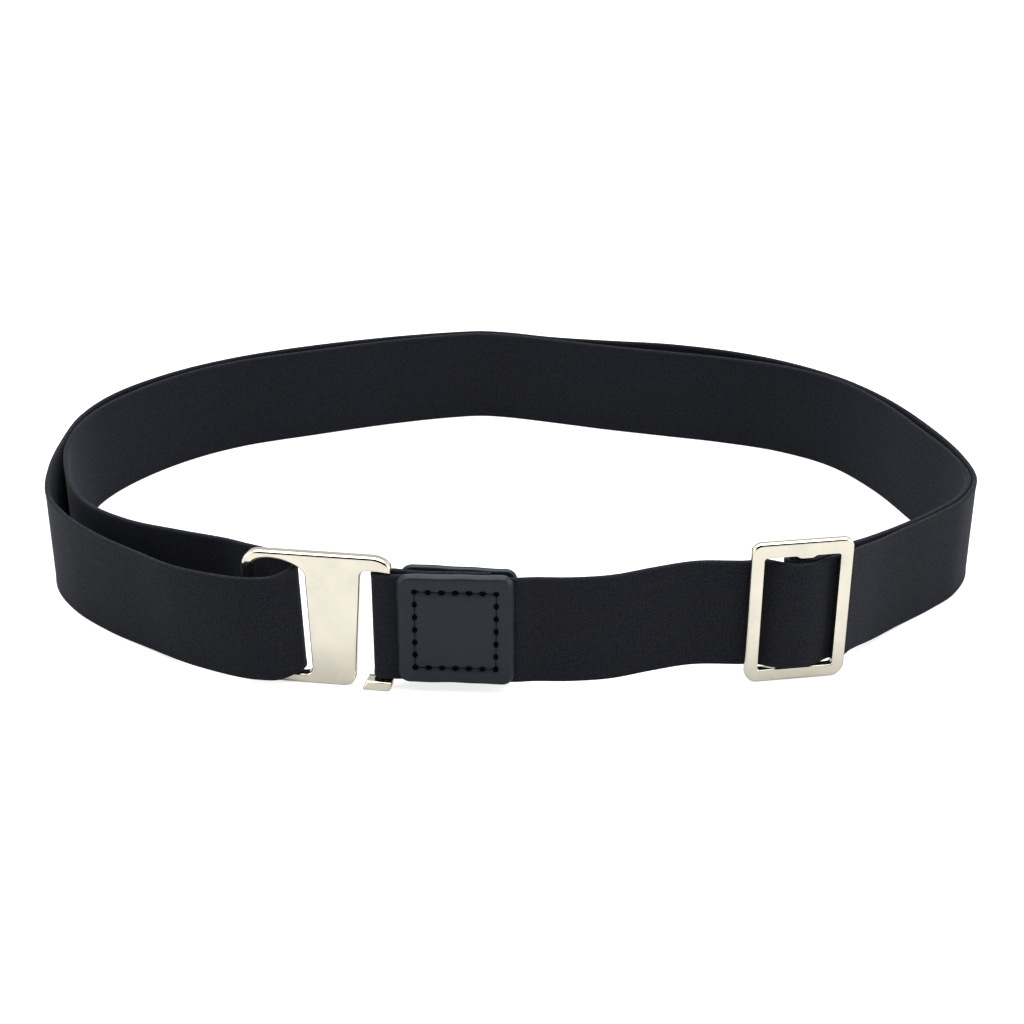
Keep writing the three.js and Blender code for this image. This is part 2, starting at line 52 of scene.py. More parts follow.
# Slider
SLIDER_OUTER_WIDTH = 21.9
SLIDER_SIDE = 2.8
SLIDER_RAIL = 3.0
SLIDER_TOP_RAIL = 3.45
SLIDER_THICK = 1.9
SLIDER_PLAY = 1.75
SLIDER_CORNER = 2.2
SLIDER_FOOT_CORNER = 3.0
SLIDER_WINDOW_CORNER = 0.6
CENTRE_BAR_WIDTH = 3.0
CENTRE_BAR_THICK = 1.5
CENTRE_BAR_INSET = 1.0
CENTRE_LUG = 0.6
CENTRE_LUG_SHIFT = 0.8
WINDOW_LEAN = 0.7
SLIDER_TURN = 8.8
SLIDER_BEND = 40.0
SEWN_TAIL = 3.2

# Hook clasp
HOOK_WIDTH = 31.9
HOOK_THICK = 2.4
HOOK_RAIL = 3.3
HOOK_FOOT = 2.2
HOOK_PLAY = 0.7
HOOK_SIDE = 2.2
HOOK_BODY = 11.65
HOOK_TAPER = 0.6
HOOK_DRAW_IN = 1.6
HOOK_SLOT = 11.4
HOOK_POST = 2.2
HOOK_POST_INSET = 0.45
HOOK_POST_THICK = 1.2
HOOK_FOOT_REACH = 4.2
HOOK_FOOT_THICK = 3.4
HOOK_TIP_DROP = 0.3
HOOK_CORNER = 4.2
HOOK_INNER_CORNER = 2.0
HOOK_LOW_CORNER = 3.2
HOOK_TURN = -8.1

# Leather patches
PATCH_WIDTH = 24.3
PATCH_HEIGHT = 25.9
PATCH_THICK = 1.4
PATCH_CORNER = 2.5
FRONT_PATCH_TURN = -2.0
BACK_PATCH_TURN = -4.2
BACK_PATCH_DROP = 0.7
BACK_PATCH_SHIFT = 0.6
BACK_PATCH_TILT = 1.2  # degrees, its left corner a little higher
BACK_EDGE_FULLER = 0.45  # less of its edge is cut off

# Places on the front of the loop, as shares of half its width and depth
SLIDER_AT = (0.56, -0.9157)
HOOK_AT = (-0.3657, -0.938)
PATCH_AT = (-0.101, -0.9995)

# Slow waves of the webbing's edges, out of its flat
EDGE_WAVES = [
    # height, length of a radian, start
    (0.07, 5.3, 0.0),
    (0.06, 8.9, 1.3),
]
RING_LENGTH = 1.7  # largest step between two sections of the webbing
RING_TURN = 7  # degrees

# Radius of the metal's rounded edges
METAL_ROUND = 0.7
SLOT_ROUND = 0.45
WINDOW_ROUND = 0.25
POST_ROUND = 0.4

# Edges that turn more than this stay sharp, in degrees
METAL_SHARP = 40
LEATHER_SHARP = 70

# Unevenness of the leather
LEATHER_WAVE = 0.02
LEATHER_WAVE_ALONG = 2.1  # length of a radian
LEATHER_WAVE_UP = 2.7
RIM_REACH = 4.0  # how far in the rim's unevenness fades out
RIM_WAVE = 0.05
RIM_WAVES = 11  # all round the patch
RIM_SAG = 0.3  # lower right corner
RIM_SAG_AT = 0.36  # share of the width, from the middle
RIM_SAG_SPREAD = 4.5

# Seam of a patch
SEAM_WIDTH = 16.9
SEAM_HEIGHT = 18.0
SEAM_TURN = -0.6  # degrees
SEAM_STITCHES = 6  # pitches on each side of the seam
SEAM_DEPTH = 0.24
SEAM_PULL = 0.28  # share of the depth that comes and goes with the stitches
SEAM_NARROW = 0.5  # half width of the groove
SEAM_BROAD = 1.3  # half width of the hollow round it
SEAM_BROAD_SHARE = 0.4
# Painted shade: the leather's colour is darkened in the seam's groove and under its stitches, where shade
# falls, with a little of the pressed leather's own darker tone
PAINTED_SHADE_REACH = 0.55  # reach of the painted shade beside the seam
PAINTED_SHADE_SPREAD = 1.2
PAINTED_SHADE_UNDER_STITCH = 0.9  # painted shade under a stitch
PAINTED_SHADE_BETWEEN_STITCHES = 0.65
STITCH_HALF = 0.32  # half of a stitch, in pitches
STITCH_LENGTH = 1.4
STITCH_FLATNESS = 0.6  # height of a stitch by its width
STITCH_SINK = 0.8  # share of the seam's depth
THREAD_THICK = 1.2
THREAD_RUN = 0.12  # thread that shows between two stitches
THREAD_UNEVEN = 0.12

# Bar tack at the webbing's sewn end
TACK_STITCHES = 12
TACK_LENGTH = 1.3
TACK_THICK = 0.5
TACK_OUT = 0.072  # middle of the thread, out of the webbing's face
TACK_ROWS = (-2.4, -0.9)  # from the cut end of the webbing
TACK_MARGIN = 3.0

HALF_WIDTH = LOOP_WIDTH / 2
HALF_DEPTH = LOOP_DEPTH / 2
WINDOW_HEIGHT = BAND_WIDTH + SLIDER_PLAY
SLIDER_HEIGHT = SLIDER_RAIL + WINDOW_HEIGHT + SLIDER_TOP_RAIL
HOOK_SLOT_TOP = HOOK_FOOT + BAND_WIDTH + HOOK_PLAY
HOOK_HEIGHT = HOOK_SLOT_TOP + HOOK_RAIL
LAYER_PITCH = BAND_THICK + CLEAR
SLIDER_LIFT = SLIDER_RAIL + CLEAR
HOOK_LIFT = HOOK_FOOT + CLEAR

# Outer layer from the hook round the left, the back and the right to the slider
# x and y: shares of half the loop. apart, lean and lift: shares of the webbing's width
LOOP = np.array([
    # x, y, apart, lean, lift
    (-0.636, -0.865, 0.535, 0.09, 0.034),
    (-0.726, -0.768, 0.43, 0.07, 0.012),
    (-0.821, -0.663, 0.32, 0.04, 0),
    (-0.91, -0.538, 0.26, 0.01, 0),
    (-0.97, -0.395, 0.235, 0, 0),
    (-0.996, -0.2, 0.145, 0, 0),
    (-1, 0, 0.06, 0, 0),
    (-0.986, 0.21, 0.075, 0, 0),
    (-0.935, 0.395, 0.115, 0, 0),
    (-0.824, 0.582, 0.105, 0, 0),
    (-0.69, 0.722, 0.105, 0, 0),
    (-0.502, 0.846, 0.14, 0, 0),
    (-0.3, 0.938, 0.1, 0, 0),
    (-0.152, 0.984, 0.072, 0, 0),
    (-0.071, 0.997, 0.066, 0, 0),
    (0.001, 0.981, 0.062, 0, 0),
    (0.104, 0.937, 0.062, 0, 0),
    (0.25, 0.899, 0.15, 0, 0),
    (0.406, 0.863, 0.23, 0, 0),
    (0.56, 0.789, 0.2, 0, 0),
    (0.691, 0.681, 0.115, 0, 0),
    (0.805, 0.532, 0.06, 0, 0),
    (0.89, 0.335, 0.068, 0.02, 0),
    (0.95, 0.11, 0.08, 0.03, 0),
    (0.991, -0.11, 0.058, 0.02, 0),
    (0.999, -0.285, 0.057, 0, 0),
    (0.953, -0.43, 0.057, 0, 0),
    (0.886, -0.531, 0.057, 0, 0),
    (0.8, -0.645, 0.06, 0, 0.02),
    (0.74, -0.735, 0.09, 0, 0.05),
])

# Single layer from the slider to the patches
FRONT = np.array([
    # x, y, lean, lift
    (0.36, -0.915, 0, 0.118),
    (0.28, -0.934, 0, 0.09),
    (0.2, -0.957, 0, 0.056),
    (0.121, -0.969, 0, 0.05),
    (0.05, -0.978, 0, 0.066),
])

# Slack fold through the closed slot of the hook
HOOK_FOLD = np.array([
    # along the slot, out of the plate, lean, drop
    (-0.314, -0.391, 0, 0.024),
    (0.11, -0.308, 0, 0.01),
    (0.452, -0.22, 0, 0),
    (0.731, -0.152, -0.015, 0),
    (0.845, -0.078, -0.03, 0),
    (0.832, -0.012, -0.03, 0),
    (0.73, 0.056, -0.02, 0.006),
    (0.45, 0.128, 0, 0.034),
    (0.11, 0.149, 0.03, 0.034),
    (-0.276, 0.128, 0.052, 0.036),
])


class Stand:
    """Axes of a flat piece on the loop: along it to the right, and out of its front."""

    def __init__(self, at, turn):
        self.angle = math.radians(turn)
        self.along = np.array([math.cos(self.angle), math.sin(self.angle)])
        self.out = np.array([math.sin(self.angle), -math.cos(self.angle)])
        self.centre = np.array([at[0] * HALF_WIDTH, at[1] * HALF_DEPTH])

    def place(self, along, out):
        return self.centre + self.along * along + self.out * out

    def matrix(self, lift=0.0):
        x, y = self.centre * MM
        return Matrix.Translation((x, y, lift * MM)) @ Matrix.Rotation(self.angle, 4, "Z")


slider = Stand(SLIDER_AT, SLIDER_TURN)
hook = Stand(HOOK_AT, HOOK_TURN)
front_patch = Stand(PATCH_AT, FRONT_PATCH_TURN)


def station(plan, lift, lean=0.0):
    """Point of the webbing's middle line: x, y, height of its bottom edge and lean of its top edge."""
    return [plan[0], plan[1], lift, lean]


def loop_layer(rows, inset, lift, lean):
    """Layer of the loop, offset inwards from the outer layer's face."""
    plan = rows[:, :2] * (HALF_WIDTH, HALF_DEPTH)
    before = np.vstack([plan[:1], plan[:-1]])
    after = np.vstack([plan[1:], plan[-1:]])
    outward = np.stack([before[:, 1] - after[:, 1], after[:, 0] - before[:, 0]], axis=1)
    outward /= np.linalg.norm(outward, axis=1)[:, None]
    middle = plan - outward * np.asarray(inset).reshape(-1, 1)
    return [station(p, a, b) for p, a, b in zip(middle, lift * BAND_WIDTH, lean * BAND_WIDTH)]


def left_fold(stand, along, out, radius, lift, steps=6):
    """Half turn of the webbing round a bar, from its front to its back by the left."""
    stations = []
    for i in range(steps + 1):
        angle = math.pi / 2 + math.pi * i / steps
        plan = stand.place(along + radius * math.cos(angle), out + radius * math.sin(angle))
        stations.append(station(plan, lift))
    return stations


# Middles of the layers at the slider, in front of the frame's middle
BEHIND_SIDE = -(SLIDER_THICK / 2 + CLEAR + BAND_THICK / 2)
WRAP_FRONT = -SLIDER_THICK / 2 + CLEAR + BAND_THICK / 2
WRAP_BACK = -(SLIDER_THICK / 2 + CENTRE_BAR_THICK + CLEAR + BAND_THICK / 2)
OVER_BAR = WRAP_FRONT + LAYER_PITCH
WINDOW_HALF = SLIDER_OUTER_WIDTH / 2 - SLIDER_SIDE
WINDOW_MIDDLE = (WINDOW_HALF + CENTRE_BAR_WIDTH / 2) / 2
HALFWAY = (OVER_BAR + BEHIND_SIDE) / 2


def past_slider(distance, ply):
    """Past the slider's right side, where the layers turn back together: ply 0 is the outer layer."""
    angle = slider.angle + math.radians(SLIDER_BEND)
    plan = slider.place(SLIDER_OUTER_WIDTH / 2, BEHIND_SIDE)
    plan = plan + distance * np.array([math.cos(angle), math.sin(angle)])
    plan = plan + ply * LAYER_PITCH * np.array([-math.sin(angle), math.cos(angle)])
    return station(plan, SLIDER_LIFT)


def sewn_end():
    """From the webbing's cut end beside the slider in to its centre bar, round it and out again."""
    radius = (WRAP_FRONT - WRAP_BACK) / 2
    along = -CENTRE_BAR_WIDTH / 2 + radius / 4
    in_ply = BEHIND_SIDE - LAYER_PITCH - CLEAR / 2
    back_ply = min(WRAP_BACK, in_ply) - LAYER_PITCH / 2
    side = SLIDER_OUTER_WIDTH / 2

    def at(a, o):
        return station(slider.place(a, o), SLIDER_LIFT)

    return [
        past_slider(SEWN_TAIL, 1),
        at(side - LAYER_PITCH / 2, in_ply),
        at(WINDOW_HALF - SLIDER_SIDE / 2, in_ply + CLEAR),
        at(WINDOW_MIDDLE, HALFWAY - LAYER_PITCH),
        at(CENTRE_BAR_WIDTH / 2, WRAP_FRONT),
        *left_fold(slider, along, (WRAP_FRONT + WRAP_BACK) / 2, radius, SLIDER_LIFT),
        at(WINDOW_HALF - SLIDER_SIDE / 2, back_ply - LAYER_PITCH / 2),
        at(side - SLIDER_SIDE / 2, in_ply - LAYER_PITCH),
        past_slider(SEWN_TAIL, 2),
    ]


def through_slider():
    """Outer layer behind the right bar, over the centre bar and behind the left bar."""
    behind = SLIDER_LIFT - CLEAR / 2
    across = [
        # along, out, lift, lean
        (SLIDER_OUTER_WIDTH / 2, BEHIND_SIDE, SLIDER_LIFT, 0),
        (WINDOW_HALF, BEHIND_SIDE, behind, 0),
        (WINDOW_MIDDLE, HALFWAY + CLEAR, SLIDER_LIFT, 0),
        (CENTRE_BAR_WIDTH / 2, OVER_BAR, SLIDER_LIFT, 0),
        (-CENTRE_BAR_WIDTH / 2, OVER_BAR, SLIDER_LIFT, 0),
        (-WINDOW_MIDDLE, HALFWAY + 2 * CLEAR, SLIDER_LIFT, -WINDOW_LEAN),
        (-WINDOW_HALF, BEHIND_SIDE, behind, -WINDOW_LEAN),
        (-SLIDER_OUTER_WIDTH / 2, BEHIND_SIDE, SLIDER_LIFT, 0),
    ]
    inside = [station(slider.place(along, out), lift, lean) for along, out, lift, lean in across]
    return [past_slider(SEWN_TAIL, 0)] + inside


SLOT_LEFT = -HOOK_WIDTH / 2 + HOOK_SIDE
SLOT_RIGHT = SLOT_LEFT + HOOK_SLOT


def through_hook():
    return [
        station(
            hook.place(SLOT_LEFT + along * HOOK_SLOT, out * BAND_WIDTH),
            HOOK_LIFT - drop * BAND_WIDTH,
            lean * BAND_WIDTH,
        )
        for along, out, lean, drop in HOOK_FOLD
    ]


POST_RIGHT = HOOK_WIDTH / 2 - HOOK_POST_INSET
POST_LEFT = POST_RIGHT - HOOK_POST
POST_MIDDLE = (HOOK_POST_THICK - HOOK_THICK) / 2
PLY_IN_PATCH = -(PATCH_THICK / 2 + CLEAR + BAND_THICK / 2)


def end_loop():
    """Between the patches, round the hook's post and back between the patches."""
    def in_patch(share, out):
        return station(front_patch.place(share * PATCH_WIDTH, out), HOOK_LIFT)

    radius = HOOK_POST_THICK / 2 + CLEAR + BAND_THICK / 2
    first = in_patch(0.5, PLY_IN_PATCH)
    first[2] = (HOOK_LIFT + FRONT[-1, 3] * BAND_WIDTH) / 2
    return [
        first,
        in_patch(0, PLY_IN_PATCH),
        in_patch(-0.3, PLY_IN_PATCH),
        station(hook.place(POST_RIGHT, POST_MIDDLE + radius - CLEAR / 2), HOOK_LIFT),
        *left_fold(hook, POST_LEFT, POST_MIDDLE, radius, HOOK_LIFT),
        station(hook.place(POST_RIGHT, POST_MIDDLE - radius), HOOK_LIFT),
        in_patch(-0.3, PLY_IN_PATCH - LAYER_PITCH),
        in_patch(0, PLY_IN_PATCH - LAYER_PITCH),
        in_patch(0.3, PLY_IN_PATCH - LAYER_PITCH),
    ]


def webbing_route():
    """Stations from the cut end at the slider to the end between the patches."""
    apart, lean, lift = LOOP[:, 2], LOOP[:, 3], LOOP[:, 4]
    inner = loop_layer(LOOP, BAND_THICK / 2 + apart * BAND_WIDTH, lift, lean * 0)[::-1]
    outer = loop_layer(LOOP, np.full(len(LOOP), BAND_THICK / 2), lift, lean)
    front = loop_layer(FRONT, np.full(len(FRONT), BAND_THICK / 2), FRONT[:, 3], FRONT[:, 2])
    return np.array(sewn_end() + inner + through_hook() + outer + through_slider() + front + end_loop())


ROUTE_STEPS = 40  # samples from one station to the next


def smooth_route(stations, steps):
    """Centripetal Catmull-Rom curve through the stations, with evenly many samples in each span."""
    first = 2 * stations[0] - stations[1]
    last = 2 * stations[-1] - stations[-2]
    p = np.vstack([first, stations, last])
    knots = np.sqrt(np.maximum(np.linalg.norm(np.diff(p[:, :2], axis=0), axis=1), 1e-4))
    share = np.arange(steps)[:, None] / steps
    spans = []
    for i in range(len(stations) - 1):
        a, b, c = knots[i], knots[i + 1], knots[i + 2]
        p0, p1, p2, p3 = p[i:i + 4]
        t1 = ((p1 - p0) / a - (p2 - p0) / (a + b) + (p2 - p1) / b) * b
        t2 = ((p2 - p1) / b - (p3 - p1) / (b + c) + (p3 - p2) / c) * b
        c2 = -3 * p1 + 3 * p2 - 2 * t1 - t2
        c3 = 2 * p1 - 2 * p2 + t1 + t2
        spans.append(p1 + t1 * share + c2 * share ** 2 + c3 * share ** 3)
    return np.vstack(spans + [stations[-1:]])


def pick_rings(path, length, turn):
    """Samples of the path whose steps are no longer and turn no more than allowed, and their distances."""
    steps = np.diff(path[:, :2], axis=0)
    distance = np.concatenate([[0], np.cumsum(np.linalg.norm(steps, axis=1))])
    heading = np.unwrap(np.arctan2(steps[:, 1], steps[:, 0]))
    turned = np.concatenate([[0, 0], np.cumsum(np.abs(np.diff(heading)))])
    effort = distance / length + turned / math.radians(turn)
    wanted = np.linspace(0, effort[-1], int(math.ceil(effort[-1])) + 1)
    index = np.interp(wanted, effort, np.arange(len(path)))
    rings = np.stack([np.interp(index, np.arange(len(path)), path[:, k]) for k in range(4)], axis=1)
    return rings, np.interp(index, np.arange(len(path)), distance)


# Half section of the webbing: height from its edge, and half thickness there. The selvedge is a little fuller
SELVEDGE = [
    # up, half thickness
    (0.0, 0.0),
    (0.05, 0.24),
    (0.16, 0.4),
    (0.34, 0.51),
    (0.6, 0.545),
    (0.95, 0.54),
    (1.3, 0.5),
    (1.6, 0.46),
    (2.0, 0.455),
]
FIELD_STEPS = 11


def webbing_section():
    field_start, field_half = SELVEDGE[-1]
    field = np.linspace(field_start, BAND_WIDTH - field_start, FIELD_STEPS + 1)[1:-1]
    middle = [(up, field_half) for up in field]
    high = [(BAND_WIDTH - up, half) for up, half in reversed(SELVEDGE)]
    one_face = SELVEDGE + middle + high
    other = [(up, -half) for up, half in reversed(one_face[1:-1])]
    return np.array(one_face + other)


def add_object(name, data):
    made = bpy.data.objects.new(name, data)
    bpy.context.scene.collection.objects.link(made)
    return made


def new_object(name, mesh, matrix=None, smooth=True):
    if matrix is not None:
        mesh.transform(matrix)
    mesh.polygons.foreach_set("use_smooth", [smooth] * len(mesh.polygons))
    return add_object(name, mesh)


def evaluated_mesh(piece, name):
    """Plain mesh of the piece with its modifiers."""
    graph = bpy.context.evaluated_depsgraph_get()
    mesh = bpy.data.meshes.new_from_object(piece.evaluated_get(graph))
    mesh.name = name
    return mesh


def ring_faces(levels, n, start=0):
    """Quads from each ring of n points to the next."""
    edges = [(start + r * n + i, start + r * n + (i + 1) % n) for r in range(levels - 1) for i in range(n)]
    return [(a, b, b + n, a + n) for a, b in edges]


def closed_faces(levels, n):
    caps = [tuple(reversed(range(n))), tuple(range((levels - 1) * n, levels * n))]
    return ring_faces(levels, n) + caps


def make_webbing():
    """The whole webbing as one closed mesh, with its flat coordinates in the UV map cloth."""
    path = smooth_route(webbing_route(), ROUTE_STEPS)
    rings, distance = pick_rings(path, RING_LENGTH, RING_TURN)
    heading = np.gradient(rings[:, :2], axis=0)
    heading /= np.linalg.norm(heading, axis=1)[:, None]
    side = np.stack([-heading[:, 1], heading[:, 0]], axis=1)
    section = webbing_section()
    up, across = section[:, 0], section[:, 1]
    share = up / BAND_WIDTH
    wave = sum(height * np.sin(distance / length + start) for height, length, start in EDGE_WAVES)
    lift = np.maximum(rings[:, 2], 0)
    reach = across[None, :] + rings[:, 3:4] * share[None, :]
    reach += wave[:, None] * (share - 0.5)[None, :] ** 2
    xy = rings[:, None, :2] + side[:, None, :] * reach[:, :, None]
    z = lift[:, None] + up[None, :]
    points = np.concatenate([xy, z[:, :, None]], axis=2).reshape(-1, 3) * MM
    n = len(section)
    mesh = bpy.data.meshes.new("webbing")
    mesh.from_pydata(points.tolist(), [], closed_faces(len(rings), n))
    uv = mesh.uv_layers.new(name="cloth")
    vertex = np.zeros(len(mesh.loops), dtype=np.int32)
    mesh.loops.foreach_get("vertex_index", vertex)
    flat = np.stack([distance[vertex // n], up[vertex % n]], axis=1) * MM
    uv.data.foreach_set("uv", flat.ravel())
    return new_object("webbing", mesh)


# Outlines of the metal plates, as loops with the metal on their left

def arc(cx, cy, rx, ry, start, end, steps=14):
    angles = np.radians(np.linspace(start, end, steps + 1))
    return [(cx + rx * math.cos(a), cy + ry * math.sin(a)) for a in angles]


def curve(p0, p1, p2, steps=8):
    t = np.linspace(0, 1, steps + 1)[:, None]
    p0, p1, p2 = np.array(p0), np.array(p1), np.array(p2)
    return [tuple(p) for p in (1 - t) ** 2 * p0 + 2 * t * (1 - t) * p1 + t ** 2 * p2]


def cubic(p0, p1, p2, p3, steps=24):
    t = np.linspace(0, 1, steps + 1)[:, None]
    p0, p1, p2, p3 = (np.array(p) for p in (p0, p1, p2, p3))
    points = (1 - t) ** 3 * p0 + 3 * t * (1 - t) ** 2 * p1 + 3 * t ** 2 * (1 - t) * p2 + t ** 3 * p3
    return [tuple(p) for p in points]


def rounded_rect(left, bottom, width, height, radius, steps=12, foot=None):
    right, top = left + width, bottom + height
    foot = foot or radius
    return (
        arc(right - foot, bottom + foot, foot, foot, -90, 0, steps)
        + arc(right - radius, top - radius, radius, radius, 0, 90, steps)
        + arc(left + radius, top - radius, radius, radius, 90, 180, steps)
        + arc(left + foot, bottom + foot, foot, foot, 180, 270, steps)
    )


NEAR = 0.02  # points of an outline that are no further apart than this are one
LEAST_MITRE = 0.5  # keeps a sharp corner's inset short


def tidy_loop(points):
    kept = [points[0]]
    for p in points[1:]:
        if math.dist(p, kept[-1]) > NEAR:
            kept.append(p)
    if math.dist(kept[0], kept[-1]) <= NEAR:
        kept.pop()
    return np.array(kept)


def inset_loop(loop, inset):
    """The outline moved to its left by the inset, into the metal."""
    def left_of(edge):
        normal = np.stack([-edge[:, 1], edge[:, 0]], axis=1)
        return normal / np.linalg.norm(normal, axis=1)[:, None]

    before = left_of(loop - np.roll(loop, 1, axis=0))
    after = left_of(np.roll(loop, -1, axis=0) - loop)
    mitre = before + after
    mitre /= np.linalg.norm(mitre, axis=1)[:, None]
    stretch = np.maximum((mitre * before).sum(axis=1), LEAST_MITRE)
    return loop + mitre * (inset / stretch)[:, None]


def edge_profile(thick, radius, rounds=5, rim=0.05):
    """Inset and depth of the rings that round a plate's edge, from its front to its back."""
    profile = [(radius + rim, -thick / 2)]
    for k in range(rounds + 1):
        angle = math.pi / 2 * k / rounds
        profile.append((radius * (1 - math.sin(angle)), radius * (1 - math.cos(angle)) - thick / 2))
    return profile + [(inset, -y) for inset, y in reversed(profile)]


def plate_mesh(name, outlines, thick, middle=0.0):
    """Flat plate that stands in the XZ plane, each outline with its own edge radius, as one closed mesh."""
    points, faces, first_rings = [], [], []
    for outline, radius in outlines:
        loop = tidy_loop(outline)
        profile = edge_profile(thick, radius)
        n = len(loop)
        start = len(points)
        first_rings.append((start, n))
        for inset, y in profile:
            ring = inset_loop(loop, inset)
            points += [(x, y + middle, z) for x, z in ring]
        faces += [(a, d, c, b) for a, b, c, d in ring_faces(len(profile), n, start)]
    front = [[Vector((points[s + i][0], points[s + i][2], 0)) for i in range(n)] for s, n in first_rings]
    corner = [s + i for s, n in first_rings for i in range(n)]
    to_back = {s + i: (len(profile) - 1) * n for s, n in first_rings for i in range(n)}
    for triangle in tessellate_polygon(front):
        a, b, c = (corner[i] for i in triangle)
        pa, pb, pc = (np.array(points[i])[[0, 2]] for i in (a, b, c))
        turn = (pb[0] - pa[0]) * (pc[1] - pa[1]) - (pb[1] - pa[1]) * (pc[0] - pa[0])
        if turn < 0:
            b, c = c, b
        faces.append((a, b, c))
        faces.append((a + to_back[a], c + to_back[c], b + to_back[b]))
    mesh = bpy.data.meshes.new(name)
    mesh.from_pydata((np.array(points) * MM).tolist(), [], faces)
    mesh.validate()
    return mesh


def join_solids(name, meshes):
    """One closed solid from solids that overlap."""
    parts = [new_object(f"{name}_part", mesh) for mesh in meshes]
    whole = parts[0]
    for part in parts[1:]:
        union = whole.modifiers.new("union", "BOOLEAN")
        union.operation = "UNION"
        union.solver = "EXACT"
        union.object = part
    joined = evaluated_mesh(whole, name)
    for part in parts:
        bpy.data.objects.remove(part)
    joined.set_sharp_from_angle(angle=math.radians(METAL_SHARP))
    return joined


def hook_outlines():
    """The plate with the rail that reaches over the open slot, and the arched closed slot."""
    left, right = -HOOK_WIDTH / 2, HOOK_WIDTH / 2
    body_top = SLOT_RIGHT + HOOK_BODY
    body_foot = body_top - HOOK_DRAW_IN
    low = HOOK_CORNER / 2
    inner = HOOK_INNER_CORNER
    tip = HOOK_SLOT_TOP - HOOK_TIP_DROP
    end = tip + METAL_ROUND
    meet = (body_top, HOOK_SLOT_TOP)
    plate = curve((body_foot - HOOK_LOW_CORNER, 0), (body_foot, 0), (body_foot, HOOK_LOW_CORNER), 12)
    plate += curve((body_top, HOOK_SLOT_TOP - inner), meet, (body_top + inner, HOOK_SLOT_TOP), 12)
    plate += [(right, tip)]
    plate += arc(right - HOOK_CORNER, end, HOOK_CORNER, HOOK_HEIGHT - end, 0, 90, 20)
    plate += arc(left + HOOK_CORNER, HOOK_HEIGHT - HOOK_CORNER, HOOK_CORNER, HOOK_CORNER, 90, 180, 20)
    plate += arc(left + low, low, low, low, 180, 270)
    arch = HOOK_RAIL
    taper = SLOT_RIGHT + HOOK_TAPER
    slot = curve((taper - low, HOOK_FOOT), (taper, HOOK_FOOT), (taper, HOOK_FOOT + low))
    slot += cubic(
        (SLOT_RIGHT, HOOK_SLOT_TOP - arch / 2),
        (SLOT_RIGHT - arch / 3, HOOK_SLOT_TOP + arch / 2),
        (SLOT_LEFT + arch / 3, HOOK_SLOT_TOP + arch),
        (SLOT_LEFT, HOOK_SLOT_TOP - arch / 8),
    )
    slot += curve((SLOT_LEFT, HOOK_FOOT + low / 2), (SLOT_LEFT, HOOK_FOOT), (SLOT_LEFT + low / 2, HOOK_FOOT))
    return [(plate, METAL_ROUND), (slot[::-1], SLOT_ROUND)]


def make_hook():
    tip = POST_LEFT - HOOK_FOOT_REACH
    top = HOOK_SLOT_TOP + HOOK_RAIL / 4
    toe = curve((POST_RIGHT - HOOK_FOOT / 2, 0), (POST_RIGHT, 0), (POST_RIGHT, HOOK_FOOT))
    heel = (tip + HOOK_FOOT / 2, HOOK_FOOT)
    post = [(tip, 0)] + toe + [(POST_RIGHT, top), (POST_LEFT, top), (POST_LEFT, HOOK_FOOT), heel]
    foot = [(tip, 0)] + toe + [heel]
    foot_middle = (HOOK_THICK - HOOK_FOOT_THICK) / 2
    mesh = join_solids("hook_plate", [
        plate_mesh("hook_plate", hook_outlines(), HOOK_THICK),
        plate_mesh("hook_post", [(post, POST_ROUND)], HOOK_POST_THICK, -POST_MIDDLE),
        plate_mesh("hook_foot", [(foot, POST_ROUND)], HOOK_FOOT_THICK, foot_middle),
    ])
    return new_object("hook_plate", mesh, hook.matrix())


def lug_shoulder(edge, side, top):
    """Soft step from the top rail down to the lug, on its right for side 1 and on its left for -1."""
    drop = CENTRE_LUG
    middle = (edge + side * drop / 2, top - drop / 2)
    upper = curve((edge + side * 2 * drop, top), (edge + side * drop, top), middle, 6)
    return upper + curve(middle, (edge, top - drop), (edge - side * drop, top - drop), 6)


def slider_window():
    """Window of the slider, with the lug that hangs from its top rail."""
    right, bottom = WINDOW_HALF, SLIDER_RAIL
    top = bottom + WINDOW_HEIGHT
    corner = SLIDER_WINDOW_CORNER
    lug_right = CENTRE_LUG_SHIFT + CENTRE_BAR_WIDTH / 2
    lug_left = lug_right - CENTRE_BAR_WIDTH
    outline = arc(right - corner, bottom + corner, corner, corner, -90, 0, 6)
    outline += arc(right - corner, top - corner, corner, corner, 0, 90, 6)
    outline += lug_shoulder(lug_right, 1, top)
    outline += lug_shoulder(lug_left, -1, top)[::-1]
    outline += arc(corner - right, top - corner, corner, corner, 90, 180, 6)
    outline += arc(corner - right, bottom + corner, corner, corner, 180, 270, 6)
    return outline


